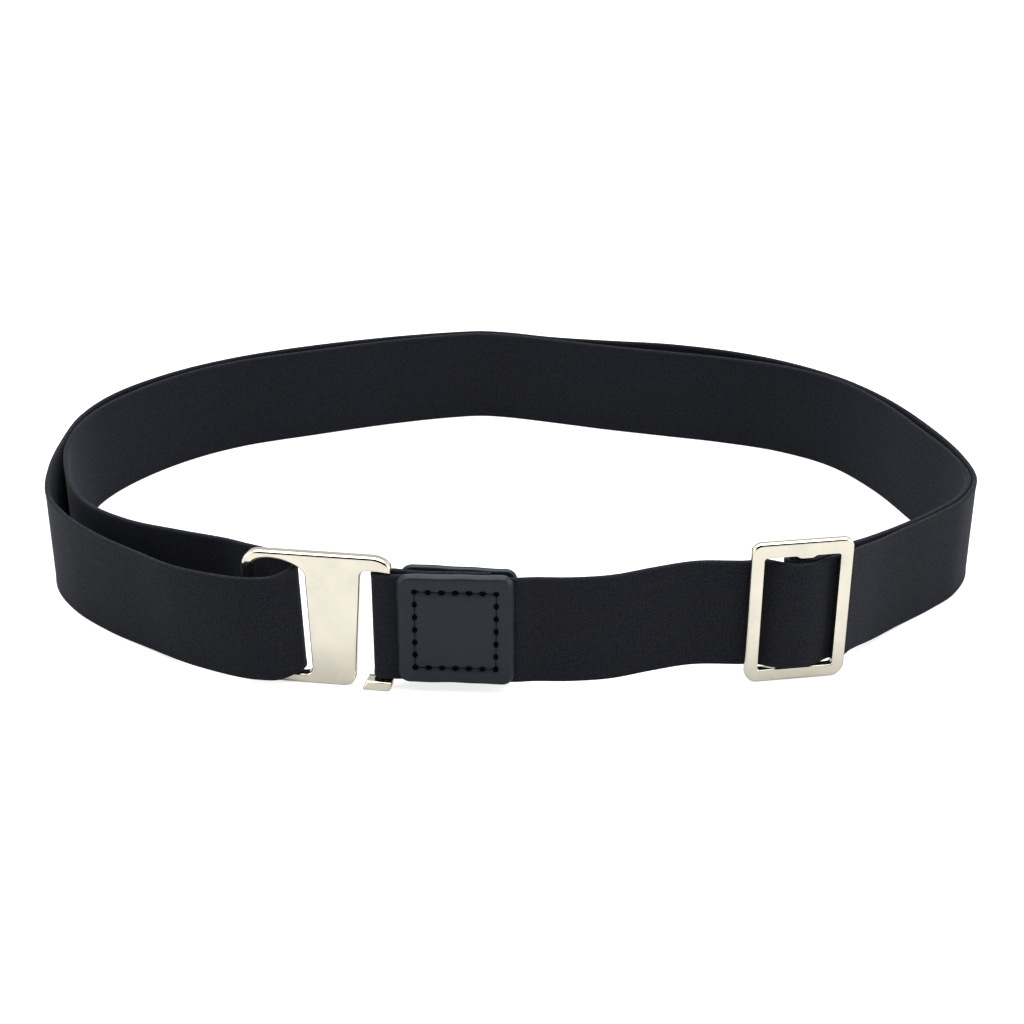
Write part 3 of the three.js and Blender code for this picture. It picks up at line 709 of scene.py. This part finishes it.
def make_slider():
    half = CENTRE_BAR_WIDTH / 2
    outer = rounded_rect(
        -SLIDER_OUTER_WIDTH / 2, 0, SLIDER_OUTER_WIDTH, SLIDER_HEIGHT, SLIDER_CORNER, foot=SLIDER_FOOT_CORNER,
    )
    window = slider_window()
    face = SLIDER_THICK / 2
    back = face + CENTRE_BAR_THICK
    top = SLIDER_HEIGHT - CENTRE_BAR_INSET
    bar = rounded_rect(-half, CENTRE_BAR_INSET, 2 * half, top - CENTRE_BAR_INSET, 2 * POST_ROUND, 4)
    low_height = SLIDER_RAIL - CENTRE_BAR_INSET
    low_lug = rounded_rect(-half, CENTRE_BAR_INSET, 2 * half, low_height, 2 * POST_ROUND, 4)
    lug_foot = SLIDER_RAIL + WINDOW_HEIGHT - CENTRE_LUG
    high_left = CENTRE_LUG_SHIFT - half
    high_lug = rounded_rect(high_left, lug_foot, 2 * half, top - lug_foot, 2 * POST_ROUND, 4)
    mesh = join_solids("slider_frame", [
        plate_mesh("slider_frame", [(outer, METAL_ROUND), (window[::-1], WINDOW_ROUND)], SLIDER_THICK),
        plate_mesh("centre_bar", [(bar, POST_ROUND)], CENTRE_BAR_THICK, (face + back) / 2),
        plate_mesh("low_lug", [(low_lug, POST_ROUND)], back, back / 2),
        plate_mesh("high_lug", [(high_lug, POST_ROUND)], back, back / 2),
    ])
    return new_object("slider_frame", mesh, slider.matrix())


# Leather patch: height of its outer face over its middle, by the distance in from its edge
PATCH_RISE = np.array([
    # in from the edge, out of the middle
    (0.0, -0.36),
    (0.04, -0.26),
    (0.12, -0.14),
    (0.24, 0.01),
    (0.42, 0.235),
    (0.6, 0.46),
    (0.72, 0.58),
    (0.84, 0.64),
    (1.0, 0.665),
    (1.6, 0.68),
    (2.4, 0.68),
    (3.0, 0.65),
    (3.5, 0.61),
    (4.2, 0.58),
    (5.0, 0.59),
    (6.5, 0.61),
    (12.0, 0.61),
])
# Its inner face's rounded edge
PATCH_INNER_EDGE = [
    # in from the edge, out of the middle
    (0.42, -0.7),
    (0.3, -0.66),
    (0.08, -0.42),
]
# Rings of the outer face by their distance in, closer on the bevel and the seam
PATCH_RINGS = [
    0.0, 0.06, 0.14, 0.24, 0.36, 0.52, 0.68, 0.8, 0.92, 1.06, 1.3,
    1.6, 2.0, 2.4, 2.75, 3.05, 3.3, 3.52, 3.72, 3.9, 4.08, 4.26,
    4.46, 4.7, 5.0, 5.4, 5.95, 6.7, 7.7, 8.9, 10.2, 11.5,
]
PATCH_LEAST_CORNER = 0.35


def patch_ring(inset):
    """Rounded rectangle that far in from the patch's edge, with evenly many points on each ring."""
    half_w, half_h = PATCH_WIDTH / 2 - inset, PATCH_HEIGHT / 2 - inset
    radius = max(PATCH_CORNER - inset, PATCH_LEAST_CORNER)
    corners = [(half_w - radius, radius - half_h, -90), (half_w - radius, half_h - radius, 0)]
    corners += [(radius - half_w, half_h - radius, 90), (radius - half_w, radius - half_h, 180)]
    straight, bend = 44, 8
    points = []
    for i, (cx, cy, start) in enumerate(corners):
        turn = arc(cx, cy, radius, radius, start, start + 90, bend)
        nx, ny, after = corners[(i + 1) % 4]
        angle = math.radians(after)
        corner_end = np.array(turn[-1])
        next_start = np.array((nx + radius * math.cos(angle), ny + radius * math.sin(angle)))
        points += turn
        for k in range(1, straight):
            points.append(tuple(corner_end + (next_start - corner_end) * k / straight))
    return np.array(points)


def seam_place(points):
    """Distance of points of the patch from its seam, and how many pitches along the seam they lie."""
    turn = math.radians(-SEAM_TURN)
    x = points[:, 0] * math.cos(turn) - points[:, 1] * math.sin(turn)
    z = points[:, 0] * math.sin(turn) + points[:, 1] * math.cos(turn)
    dx = np.abs(x) - SEAM_WIDTH / 2
    dz = np.abs(z) - SEAM_HEIGHT / 2
    outside = np.hypot(np.maximum(dx, 0), np.maximum(dz, 0))
    distance = outside - np.minimum(np.maximum(dx, dz), 0)
    return distance, np.where(dx > dz, z / SEAM_HEIGHT, x / SEAM_WIDTH) * SEAM_STITCHES


def patch_height(points, inset, seed):
    """How far the outer face stands out: a full border, a drawn in seam and a calm middle."""
    x, z = points[:, 0], points[:, 1]
    rise = np.interp(inset, PATCH_RISE[:, 0], PATCH_RISE[:, 1])
    from_seam, phase = seam_place(points)
    pull = 1 - SEAM_PULL + SEAM_PULL * np.cos(2 * math.pi * phase)
    groove = SEAM_DEPTH * pull * np.exp(-((from_seam / SEAM_NARROW) ** 2))
    groove += SEAM_BROAD_SHARE * SEAM_DEPTH * np.exp(-((from_seam / SEAM_BROAD) ** 2))
    along, up = x / LEATHER_WAVE_ALONG + seed, z / LEATHER_WAVE_UP + 2 * seed
    return rise - groove + LEATHER_WAVE * np.sin(along) * np.sin(up) * min(inset, 1)


def seam_painted_shade(points):
    """Painted shade in the seam's groove and under its stitches, with a little of the pressed leather's own
    darker tone, from 0 beside the seam to 1 on it.
    """
    distance, phase = seam_place(points)
    under = np.abs(phase - np.round(phase)) < STITCH_HALF
    near = np.clip(PAINTED_SHADE_SPREAD - distance / PAINTED_SHADE_REACH, 0, 1)
    return near * np.where(under, PAINTED_SHADE_UNDER_STITCH, PAINTED_SHADE_BETWEEN_STITCHES)


def patch_matrix(stand, lift, tilt=0.0):
    """Place of a patch, turned about the middle of its top edge."""
    top = Matrix.Translation((0, 0, PATCH_HEIGHT * MM))
    return stand.matrix(lift) @ top @ Matrix.Rotation(math.radians(tilt), 4, "Y") @ top.inverted()


def make_patch(name, place, sign, seed, fuller=0.0):
    """Closed patch, its good face towards the front for sign 1 and towards the back for sign -1."""
    rings = []
    for inset in PATCH_RINGS:
        flat = patch_ring(inset)
        rim = 1 - min(inset / RIM_REACH, 1)
        round_turn = np.arange(len(flat)) * 2 * math.pi / len(flat)
        wobble = RIM_WAVE * rim * np.sin(RIM_WAVES * round_turn + seed)
        scaled = flat * (1 + wobble / (PATCH_WIDTH / 2))[:, None]
        from_sag = (scaled[:, 0] - RIM_SAG_AT * PATCH_WIDTH) / RIM_SAG_SPREAD
        sag = RIM_SAG * rim * (scaled[:, 1] < 0) * np.exp(-(from_sag ** 2))
        scaled = scaled - np.stack([np.zeros(len(flat)), sag], axis=1)
        rings.append((scaled, patch_height(flat, inset + fuller, seed)))
    back = rings[0][0]
    n = len(back)
    levels = []
    for inset, height in PATCH_INNER_EDGE:
        levels.append((back * (1 - 2 * inset / PATCH_WIDTH), np.full(n, height)))
    levels += rings
    points = []
    for flat, height in levels:
        points += [(x, -h * sign, z + PATCH_HEIGHT / 2) for (x, z), h in zip(flat, height)]
    faces = closed_faces(len(levels), n)
    if sign < 0:
        faces = [tuple(reversed(face)) for face in faces]
    mesh = bpy.data.meshes.new(name)
    mesh.from_pydata((np.array(points) * MM).tolist(), [], faces)
    mesh.set_sharp_from_angle(angle=math.radians(LEATHER_SHARP))
    # The painted seam shade goes to the leather's colour through the point attribute seam; the rings of the
    # inner edge get none
    no_painted_shade = np.zeros(len(PATCH_INNER_EDGE) * n)
    painted_seam_shade = np.concatenate([no_painted_shade] + [seam_painted_shade(flat) for flat, height in rings])
    mesh.attributes.new("seam", "FLOAT", "POINT").data.foreach_set("value", painted_seam_shade)
    return new_object(name, mesh, place)


# Node trees of the stitches, the materials and the studio

def feed(tree, node, inputs):
    """Gives a node its inputs, each as a value or as the socket that it comes from."""
    for name, value in inputs.items():
        if isinstance(value, bpy.types.NodeSocket):
            tree.links.new(value, node.inputs[name])
        else:
            node.inputs[name].default_value = value


def add_node(tree, kind, inputs=None, **settings):
    node = tree.nodes.new(kind)
    for name, value in settings.items():
        setattr(node, name, value)
    feed(tree, node, inputs or {})
    return node


def result_of(tree, kind, inputs=None, out=0, **settings):
    return add_node(tree, kind, inputs, **settings).outputs[out]


def maths(tree, operation, *values):
    return result_of(tree, "ShaderNodeMath", dict(enumerate(values)), operation=operation)


def new_group(name, kind, takes, gives):
    """Group with its inputs, as name, type and value, and its one output. Also the sockets of its inputs."""
    group = bpy.data.node_groups.new(name, kind)
    for title, what, value in takes:
        socket = group.interface.new_socket(name=title, in_out="INPUT", socket_type="NodeSocket" + what)
        if value is not None:
            socket.default_value = value
    title, what = gives
    group.interface.new_socket(name=title, in_out="OUTPUT", socket_type="NodeSocket" + what)
    return group, add_node(group, "NodeGroupInput").outputs


# Stitches: a Geometry Nodes tree lays one thread on each pitch of a seam line

def stitch_tree():
    """Flattened grains of thread at even steps along each seam line, and a thin thread that joins them."""
    tree, given = new_group("seam stitches", "GeometryNodeTree", [
        ("Seam", "Geometry", None),
        ("Stitches", "Int", SEAM_STITCHES),
        ("Stitch Length", "Float", STITCH_LENGTH * MM),
        ("Thread Thickness", "Float", THREAD_THICK * MM),
        ("Run Thickness", "Float", THREAD_RUN * MM),
        ("Flatness", "Float", STITCH_FLATNESS),
        ("Unevenness", "Float", THREAD_UNEVEN),
        ("Seed", "Int", 4),
        ("Thread", "Material", None),
    ], ("Stitches Made", "Geometry"))
    line = result_of(tree, "GeometryNodeMeshToCurve", {0: given["Seam"]})
    spaced = result_of(tree, "GeometryNodeResampleCurve", {"Curve": line, "Count": given["Stitches"]})
    tangent = result_of(tree, "GeometryNodeInputTangent")
    turn = result_of(tree, "FunctionNodeAlignRotationToVector", {"Vector": tangent}, axis="X", pivot_axis="Z")
    grain = result_of(tree, "GeometryNodeMeshUVSphere", {"Segments": 12, "Rings": 8, "Radius": 0.5})
    lying = result_of(tree, "GeometryNodeTransform", {"Geometry": grain, "Rotation": (0, math.pi / 2, 0)})
    shape = result_of(tree, "ShaderNodeCombineXYZ", {
        "X": given["Stitch Length"],
        "Y": given["Thread Thickness"],
        "Z": maths(tree, "MULTIPLY", given["Thread Thickness"], given["Flatness"]),
    })
    vary = result_of(tree, "FunctionNodeRandomValue", {
        "Min": maths(tree, "MULTIPLY_ADD", given["Unevenness"], -1, 1),
        "Max": (1, 1, 1),
        "Seed": given["Seed"],
    }, out="Value", data_type="FLOAT_VECTOR")
    size = result_of(tree, "ShaderNodeVectorMath", {0: shape, 1: vary}, operation="MULTIPLY")
    placed = {"Points": spaced, "Instance": lying, "Rotation": turn, "Scale": size}
    stitches = result_of(tree, "GeometryNodeInstanceOnPoints", placed)
    half_run = maths(tree, "MULTIPLY", given["Run Thickness"], 0.5)
    section = result_of(tree, "GeometryNodeCurvePrimitiveCircle", {"Resolution": 8, "Radius": half_run})
    swept = {"Curve": spaced, "Profile Curve": section, "Fill Caps": True}
    run = result_of(tree, "GeometryNodeCurveToMesh", swept)
    both = add_node(tree, "GeometryNodeJoinGeometry", {"Geometry": stitches})
    tree.links.new(run, both.inputs["Geometry"])
    real = result_of(tree, "GeometryNodeRealizeInstances", {"Geometry": both.outputs[0]})
    finish = result_of(tree, "GeometryNodeSetMaterial", {"Geometry": real, "Material": given["Thread"]})
    add_node(tree, "NodeGroupOutput", {0: finish})
    return tree


def sew(name, tree, lines, count, length, thick, thread, matrix, seed):
    """Stitches along open seam lines, given in the XY plane and brought to the piece by the matrix."""
    points = [(x * MM, y * MM, 0) for line in lines for x, y in line]
    edges = [(2 * i, 2 * i + 1) for i in range(len(lines))]
    mesh = bpy.data.meshes.new(name)
    mesh.from_pydata(points, edges, [])
    seam = add_object(f"{name}_seam", mesh)
    modifier = seam.modifiers.new("stitches", "NODES")
    modifier.node_group = tree
    values = {
        "Stitches": count,
        "Stitch Length": length * MM,
        "Thread Thickness": thick * MM,
        "Run Thickness": THREAD_RUN / THREAD_THICK * thick * MM,
        "Flatness": STITCH_FLATNESS,
        "Unevenness": THREAD_UNEVEN,
        "Seed": seed,
        "Thread": thread,
    }
    for item in tree.interface.items_tree:
        if item.name in values:
            modifier[item.identifier] = values[item.name]
    made = evaluated_mesh(seam, name)
    bpy.data.objects.remove(seam)
    return new_object(name, made, matrix)


def patch_seam():
    """Four sides of the seam, each from corner to corner."""
    half_w, half_h = SEAM_WIDTH / 2, SEAM_HEIGHT / 2
    corners = [(-half_w, half_h), (half_w, half_h), (half_w, -half_h), (-half_w, -half_h)]
    return [(start, corners[(i + 1) % 4]) for i, start in enumerate(corners)]


def seam_matrix(place, sign):
    """From the seam's own flat to the outer face of the patch at that place."""
    height = PATCH_RISE[-1, 1] - SEAM_DEPTH * STITCH_SINK
    upright = Matrix.Rotation(math.pi / 2, 4, "X")
    if sign < 0:
        upright = Matrix.Rotation(math.pi, 4, "Z") @ upright
    middle = Matrix.Translation((0, -height * sign * MM, PATCH_HEIGHT / 2 * MM))
    return place @ middle @ upright @ Matrix.Rotation(math.radians(SEAM_TURN), 4, "Z")


def tack_row(path, end, before):
    """Matrix of one upright row of the bar tack, that far from the cut end's station on the route."""
    along = np.cumsum(np.linalg.norm(np.diff(path[:, :2], axis=0, prepend=path[:1, :2]), axis=1))
    at = int(np.searchsorted(along, along[end] + before))
    tangent = path[at + 1, :2] - path[at - 1, :2]
    tx, ty = tangent / np.linalg.norm(tangent)
    aside = SELVEDGE[-1][1] + TACK_OUT
    x, y = path[at, 0] - ty * aside, path[at, 1] + tx * aside
    return Matrix((
        (0, tx, -ty, x * MM),
        (0, ty, tx, y * MM),
        (1, 0, 0, (path[at, 2] + TACK_MARGIN) * MM),
        (0, 0, 0, 1),
    ))


# Materials

def speckle_group():
    """Fine uneven tone: a mask of small and larger grains, centred on one half."""
    group, given = new_group("fine speckle", "ShaderNodeTree", [
        ("Vector", "Vector", None),
        ("Fine Scale", "Float", 2000),
        ("Broad Scale", "Float", 120),
        ("Broad Share", "Float", 0.4),
    ], ("Mask", "Float"))
    grains = []
    for scale, detail in (("Fine Scale", 2), ("Broad Scale", 3)):
        inputs = {"Vector": given["Vector"], "Scale": given[scale], "Detail": detail}
        grains.append(result_of(group, "ShaderNodeTexNoise", inputs))
    mix = {"Factor": given["Broad Share"], "A": grains[0], "B": grains[1]}
    add_node(group, "NodeGroupOutput", {"Mask": result_of(group, "ShaderNodeMix", mix, out="Result")})
    return group


def weave_group():
    """Ribs of a woven tape in its own flat coordinates: weft ribs across it and fine warp lines along it."""
    group, given = new_group("ribbed weave", "ShaderNodeTree", [
        ("Vector", "Vector", None),
        ("Rib Pitch", "Float", 0.0006),
        ("Warp Pitch", "Float", 0.0005),
    ], ("Height", "Float"))
    flat = add_node(group, "ShaderNodeSeparateXYZ", {0: given["Vector"]}).outputs
    waves = []
    for axis, pitch in (("X", "Rib Pitch"), ("Y", "Warp Pitch")):
        turns = maths(group, "DIVIDE", flat[axis], given[pitch])
        waves.append(maths(group, "SINE", maths(group, "MULTIPLY", turns, 2 * math.pi)))
    crossing = maths(group, "MULTIPLY", *waves)
    woven = maths(group, "MULTIPLY_ADD", crossing, 0.5, waves[0])
    level = result_of(group, "ShaderNodeMapRange", {"Value": woven, "From Min": -1.5, "From Max": 1.5})
    add_node(group, "NodeGroupOutput", {"Height": level})
    return group


def bare_material(name):
    material = bpy.data.materials.new(name)
    material.use_nodes = True
    tree = material.node_tree
    tree.nodes.clear()
    shader = add_node(tree, "ShaderNodeBsdfPrincipled")
    add_node(tree, "ShaderNodeOutputMaterial", {"Surface": shader.outputs[0]})
    return material, tree, shader


def use_group(tree, group, inputs):
    return result_of(tree, "ShaderNodeGroup", inputs, node_tree=group)


def object_place(tree):
    return result_of(tree, "ShaderNodeTexCoord", out="Object")


def colour_between(tree, mask, low, high, span=(0.0, 1.0)):
    """Colour from low to high as the mask goes through its span."""
    ramp = add_node(tree, "ShaderNodeValToRGB", {0: mask})
    for i, colour in enumerate((low, high)):
        ramp.color_ramp.elements[i].position = span[i]
        ramp.color_ramp.elements[i].color = (*colour, 1)
    return ramp.outputs["Color"]


def value_between(tree, mask, low, high, span=(0.3, 0.7)):
    """Value from low to high as the mask goes through its span."""
    return result_of(tree, "ShaderNodeMapRange", {
        "Value": mask,
        "From Min": span[0],
        "From Max": span[1],
        "To Min": low,
        "To Max": high,
    }, out="Result")


def relief(tree, height, depth, strength=1.0):
    inputs = {"Distance": depth * MM, "Strength": strength, "Height": height}
    return result_of(tree, "ShaderNodeBump", inputs, out="Normal")


def webbing_material(speckle, weave):
    material, tree, shader = bare_material("black elastic webbing")
    place = result_of(tree, "ShaderNodeUVMap", uv_map="cloth")
    ribs = use_group(tree, weave, {"Vector": place, "Rib Pitch": 0.00042, "Warp Pitch": 0.0005})
    fibres = use_group(tree, speckle, {
        "Vector": place, "Fine Scale": 2500, "Broad Scale": 600, "Broad Share": 0.15,
    })
    height = result_of(tree, "ShaderNodeMix", {"Factor": 0.84, "A": ribs, "B": fibres}, out="Result")
    dark, light = (0.002, 0.0025, 0.0045), (0.0155, 0.0165, 0.023)
    feed(tree, shader, {
        "Base Color": colour_between(tree, height, dark, light, (0.3, 0.7)),
        "Roughness": value_between(tree, height, 0.92, 0.7),
        "Specular IOR Level": 0.14,
        "Sheen Weight": 0.05,
        "Sheen Roughness": 0.4,
        "Sheen Tint": (0.78, 0.86, 1.0, 1),
        "Normal": relief(tree, height, 0.07, 0.8),
    })
    return material


def leather_material(speckle):
    material, tree, shader = bare_material("charcoal leather")
    mask = use_group(tree, speckle, {
        "Vector": object_place(tree), "Fine Scale": 1500, "Broad Scale": 180, "Broad Share": 0.45,
    })
    dark, light = (0.004, 0.0055, 0.009), (0.008, 0.0105, 0.0165)
    # Painted shade: the attribute seam darkens the colour to near black in the seam's groove and under its
    # stitches, with a little of the pressed leather's own darker tone
    painted_seam_shade = result_of(tree, "ShaderNodeMix", {
        "Factor": result_of(tree, "ShaderNodeAttribute", out="Fac", attribute_name="seam"),
        "A": colour_between(tree, mask, dark, light, (0.3, 0.7)),
        "B": (0.0015, 0.002, 0.0035, 1),
    }, out="Result", data_type="RGBA")
    feed(tree, shader, {
        "Base Color": painted_seam_shade,
        "Roughness": value_between(tree, mask, 0.38, 0.47),
        "Specular IOR Level": 0.38,
        "Specular Tint": (0.86, 0.93, 1.0, 1),
        "Normal": relief(tree, mask, 0.05, 0.7),
    })
    return material


def nickel_material(speckle):
    material, tree, shader = bare_material("polished nickel")
    mask = use_group(tree, speckle, {
        "Vector": object_place(tree), "Fine Scale": 900, "Broad Scale": 160, "Broad Share": 0.8,
    })
    feed(tree, shader, {
        "Base Color": colour_between(tree, mask, (0.785, 0.74, 0.64), (0.88, 0.824, 0.69), (0.35, 0.6)),
        "Roughness": value_between(tree, mask, 0.13, 0.08),
        "Metallic": 1.0,
        "Normal": relief(tree, mask, 0.01, 0.25),
    })
    return material


def thread_material(weave):
    material, tree, shader = bare_material("navy black thread")
    height = use_group(tree, weave, {
        "Vector": object_place(tree), "Rib Pitch": 0.0004, "Warp Pitch": 0.0003,
    })
    feed(tree, shader, {
        "Base Color": colour_between(tree, height, (0.0002, 0.0003, 0.001), (0.001, 0.0015, 0.0035)),
        "Roughness": 0.85,
        "Specular IOR Level": 0.03,
        "Normal": relief(tree, height, 0.06),
    })
    return material


# Studio

FLOOR_SIZE = 6.0
FLOOR_TONE = 0.505
FLOOR_GLOW = 0.75  # for the camera only, so that the floor is seen as white
FIELDS = [
    # towards +Y, rise, full, edge (degrees), tone
    (-1, 36, 34, 43, 0.0),
    (1, 24, 22, 40, 0.6),
]
CAMERA_PLACE = (0.75, -397.7, 203.75)
CAMERA_PITCH = 63.5
FOCAL_PIXELS = 1800
SENSOR = 36.0
IMAGE_PIXELS = 1024
LIGHTS = [
    # name, place, size, power
    ("top softbox", (0, 0, 0.8), (1.2, 1.0), 14),
    ("right softbox", (1.0, -0.4, 0.3), (0.5, 0.5), 3.0),
    ("left softbox", (-1.0, -0.4, 0.3), (0.5, 0.5), 1.5),
]


def make_floor():
    half = FLOOR_SIZE / 2
    mesh = bpy.data.meshes.new("floor")
    corners = [(-half, -half, 0), (half, -half, 0), (half, half, 0), (-half, half, 0)]
    mesh.from_pydata(corners, [], [(0, 1, 2, 3)])
    floor = new_object("floor", mesh, smooth=False)
    material, tree, shader = bare_material("white floor")
    seen = result_of(tree, "ShaderNodeLightPath", out="Is Camera Ray")
    feed(tree, shader, {
        "Base Color": (FLOOR_TONE, FLOOR_TONE, FLOOR_TONE, 1),
        "Roughness": 0.9,
        "Specular IOR Level": 0.1,
        "Emission Color": (1, 1, 1, 1),
        "Emission Strength": value_between(tree, seen, 0, FLOOR_GLOW, (0, 1)),
    })
    mesh.materials.append(material)


def make_world():
    """White surroundings with a dark field above and behind the camera and a grey one over the far floor."""
    world = bpy.data.worlds.new("studio")
    bpy.context.scene.world = world
    world.use_nodes = True
    tree = world.node_tree
    tree.nodes.clear()
    direction = result_of(tree, "ShaderNodeTexCoord", out="Generated")
    tones = []
    for towards, rise, full, edge, tone in FIELDS:
        rise, full, edge = (math.radians(angle) for angle in (rise, full, edge))
        aim = (0, towards * math.cos(rise), math.sin(rise))
        facing = result_of(
            tree, "ShaderNodeVectorMath", {0: direction, 1: aim}, out="Value", operation="DOT_PRODUCT",
        )
        tones.append(result_of(tree, "ShaderNodeMapRange", {
            "Value": facing,
            "From Min": math.cos(edge),
            "From Max": math.cos(full),
            "To Min": 1.0,
            "To Max": tone,
        }, out="Result", interpolation_type="SMOOTHSTEP"))
    strength = maths(tree, "MULTIPLY", *tones)
    light = result_of(tree, "ShaderNodeBackground", {"Color": (1, 1, 1, 1), "Strength": strength})
    add_node(tree, "ShaderNodeOutputWorld", {"Surface": light})


def make_light(name, place, size, power):
    """Softbox aimed at the middle of the loop."""
    light = bpy.data.lights.new(name, "AREA")
    light.shape = "RECTANGLE"
    light.size, light.size_y = size
    light.energy = power
    made = add_object(name, light)
    made.location = place
    made.rotation_euler = (-Vector(place)).to_track_quat("-Z", "Y").to_euler()


def make_camera():
    camera = bpy.data.cameras.new("camera")
    camera.sensor_width = SENSOR
    camera.lens = FOCAL_PIXELS / IMAGE_PIXELS * SENSOR
    camera.clip_start = 0.01
    made = add_object("camera", camera)
    made.location = Vector(CAMERA_PLACE) * MM
    made.rotation_euler = (math.radians(CAMERA_PITCH), 0, 0)
    bpy.context.scene.camera = made


def dress(piece, material, node=None):
    """Gives a finished piece its material, hangs it on the root body, and hides the solid that it replaces,
    if one is given.
    """
    piece.data.materials.clear()
    piece.data.materials.append(material)
    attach(piece, "root")
    if node:
        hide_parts(node)


make_camera()
make_world()
make_floor()
for light in LIGHTS:
    make_light(*light)
bpy.context.scene.view_settings.view_transform = "Standard"

speckle = speckle_group()
weave = weave_group()
webbing_finish = webbing_material(speckle, weave)
leather_finish = leather_material(speckle)
nickel_finish = nickel_material(speckle)
thread_finish = thread_material(weave)

dress(make_webbing(), webbing_finish, "elastic_band")
dress(make_hook(), nickel_finish, "hook_clasp")
dress(make_slider(), nickel_finish, "slider")

patch_lift = HOOK_LIFT + (BAND_WIDTH - PATCH_HEIGHT) / 2 + CLEAR
back_patch = Stand(PATCH_AT, BACK_PATCH_TURN)
back_spread = PATCH_WIDTH / 2 * math.tan(front_patch.angle - back_patch.angle)
back_patch.centre = front_patch.place(BACK_PATCH_SHIFT, 2 * PLY_IN_PATCH - LAYER_PITCH - back_spread)
front_place = patch_matrix(front_patch, patch_lift)
back_place = patch_matrix(back_patch, patch_lift - BACK_PATCH_DROP, BACK_PATCH_TILT)
front_leather = make_patch("patch_front", front_place, sign=1, seed=0.4)
back_leather = make_patch("patch_back", back_place, sign=-1, seed=1.7, fuller=BACK_EDGE_FULLER)
dress(front_leather, leather_finish, "leather_patch_front")
dress(back_leather, leather_finish, "leather_patch_back")

tree = stitch_tree()
for name, place, sign, seed in (("stitches_front", front_place, 1, 3), ("stitches_back", back_place, -1, 8)):
    piece = sew(
        name, tree, patch_seam(), SEAM_STITCHES + 1, STITCH_LENGTH, THREAD_THICK, thread_finish,
        seam_matrix(place, sign), seed,
    )
    dress(piece, thread_finish)

path = smooth_route(webbing_route(), ROUTE_STEPS)
cut_end = (len(sewn_end()) - 1) * ROUTE_STEPS
tack_line = [((0, 0), (BAND_WIDTH - 2 * TACK_MARGIN, 0))]
for i, before in enumerate(TACK_ROWS):
    piece = sew(
        f"bar_tack_{i + 1}", tree, tack_line, TACK_STITCHES, TACK_LENGTH, TACK_THICK, thread_finish,
        tack_row(path, cut_end, before), 11 + i,
    )
    dress(piece, thread_finish)
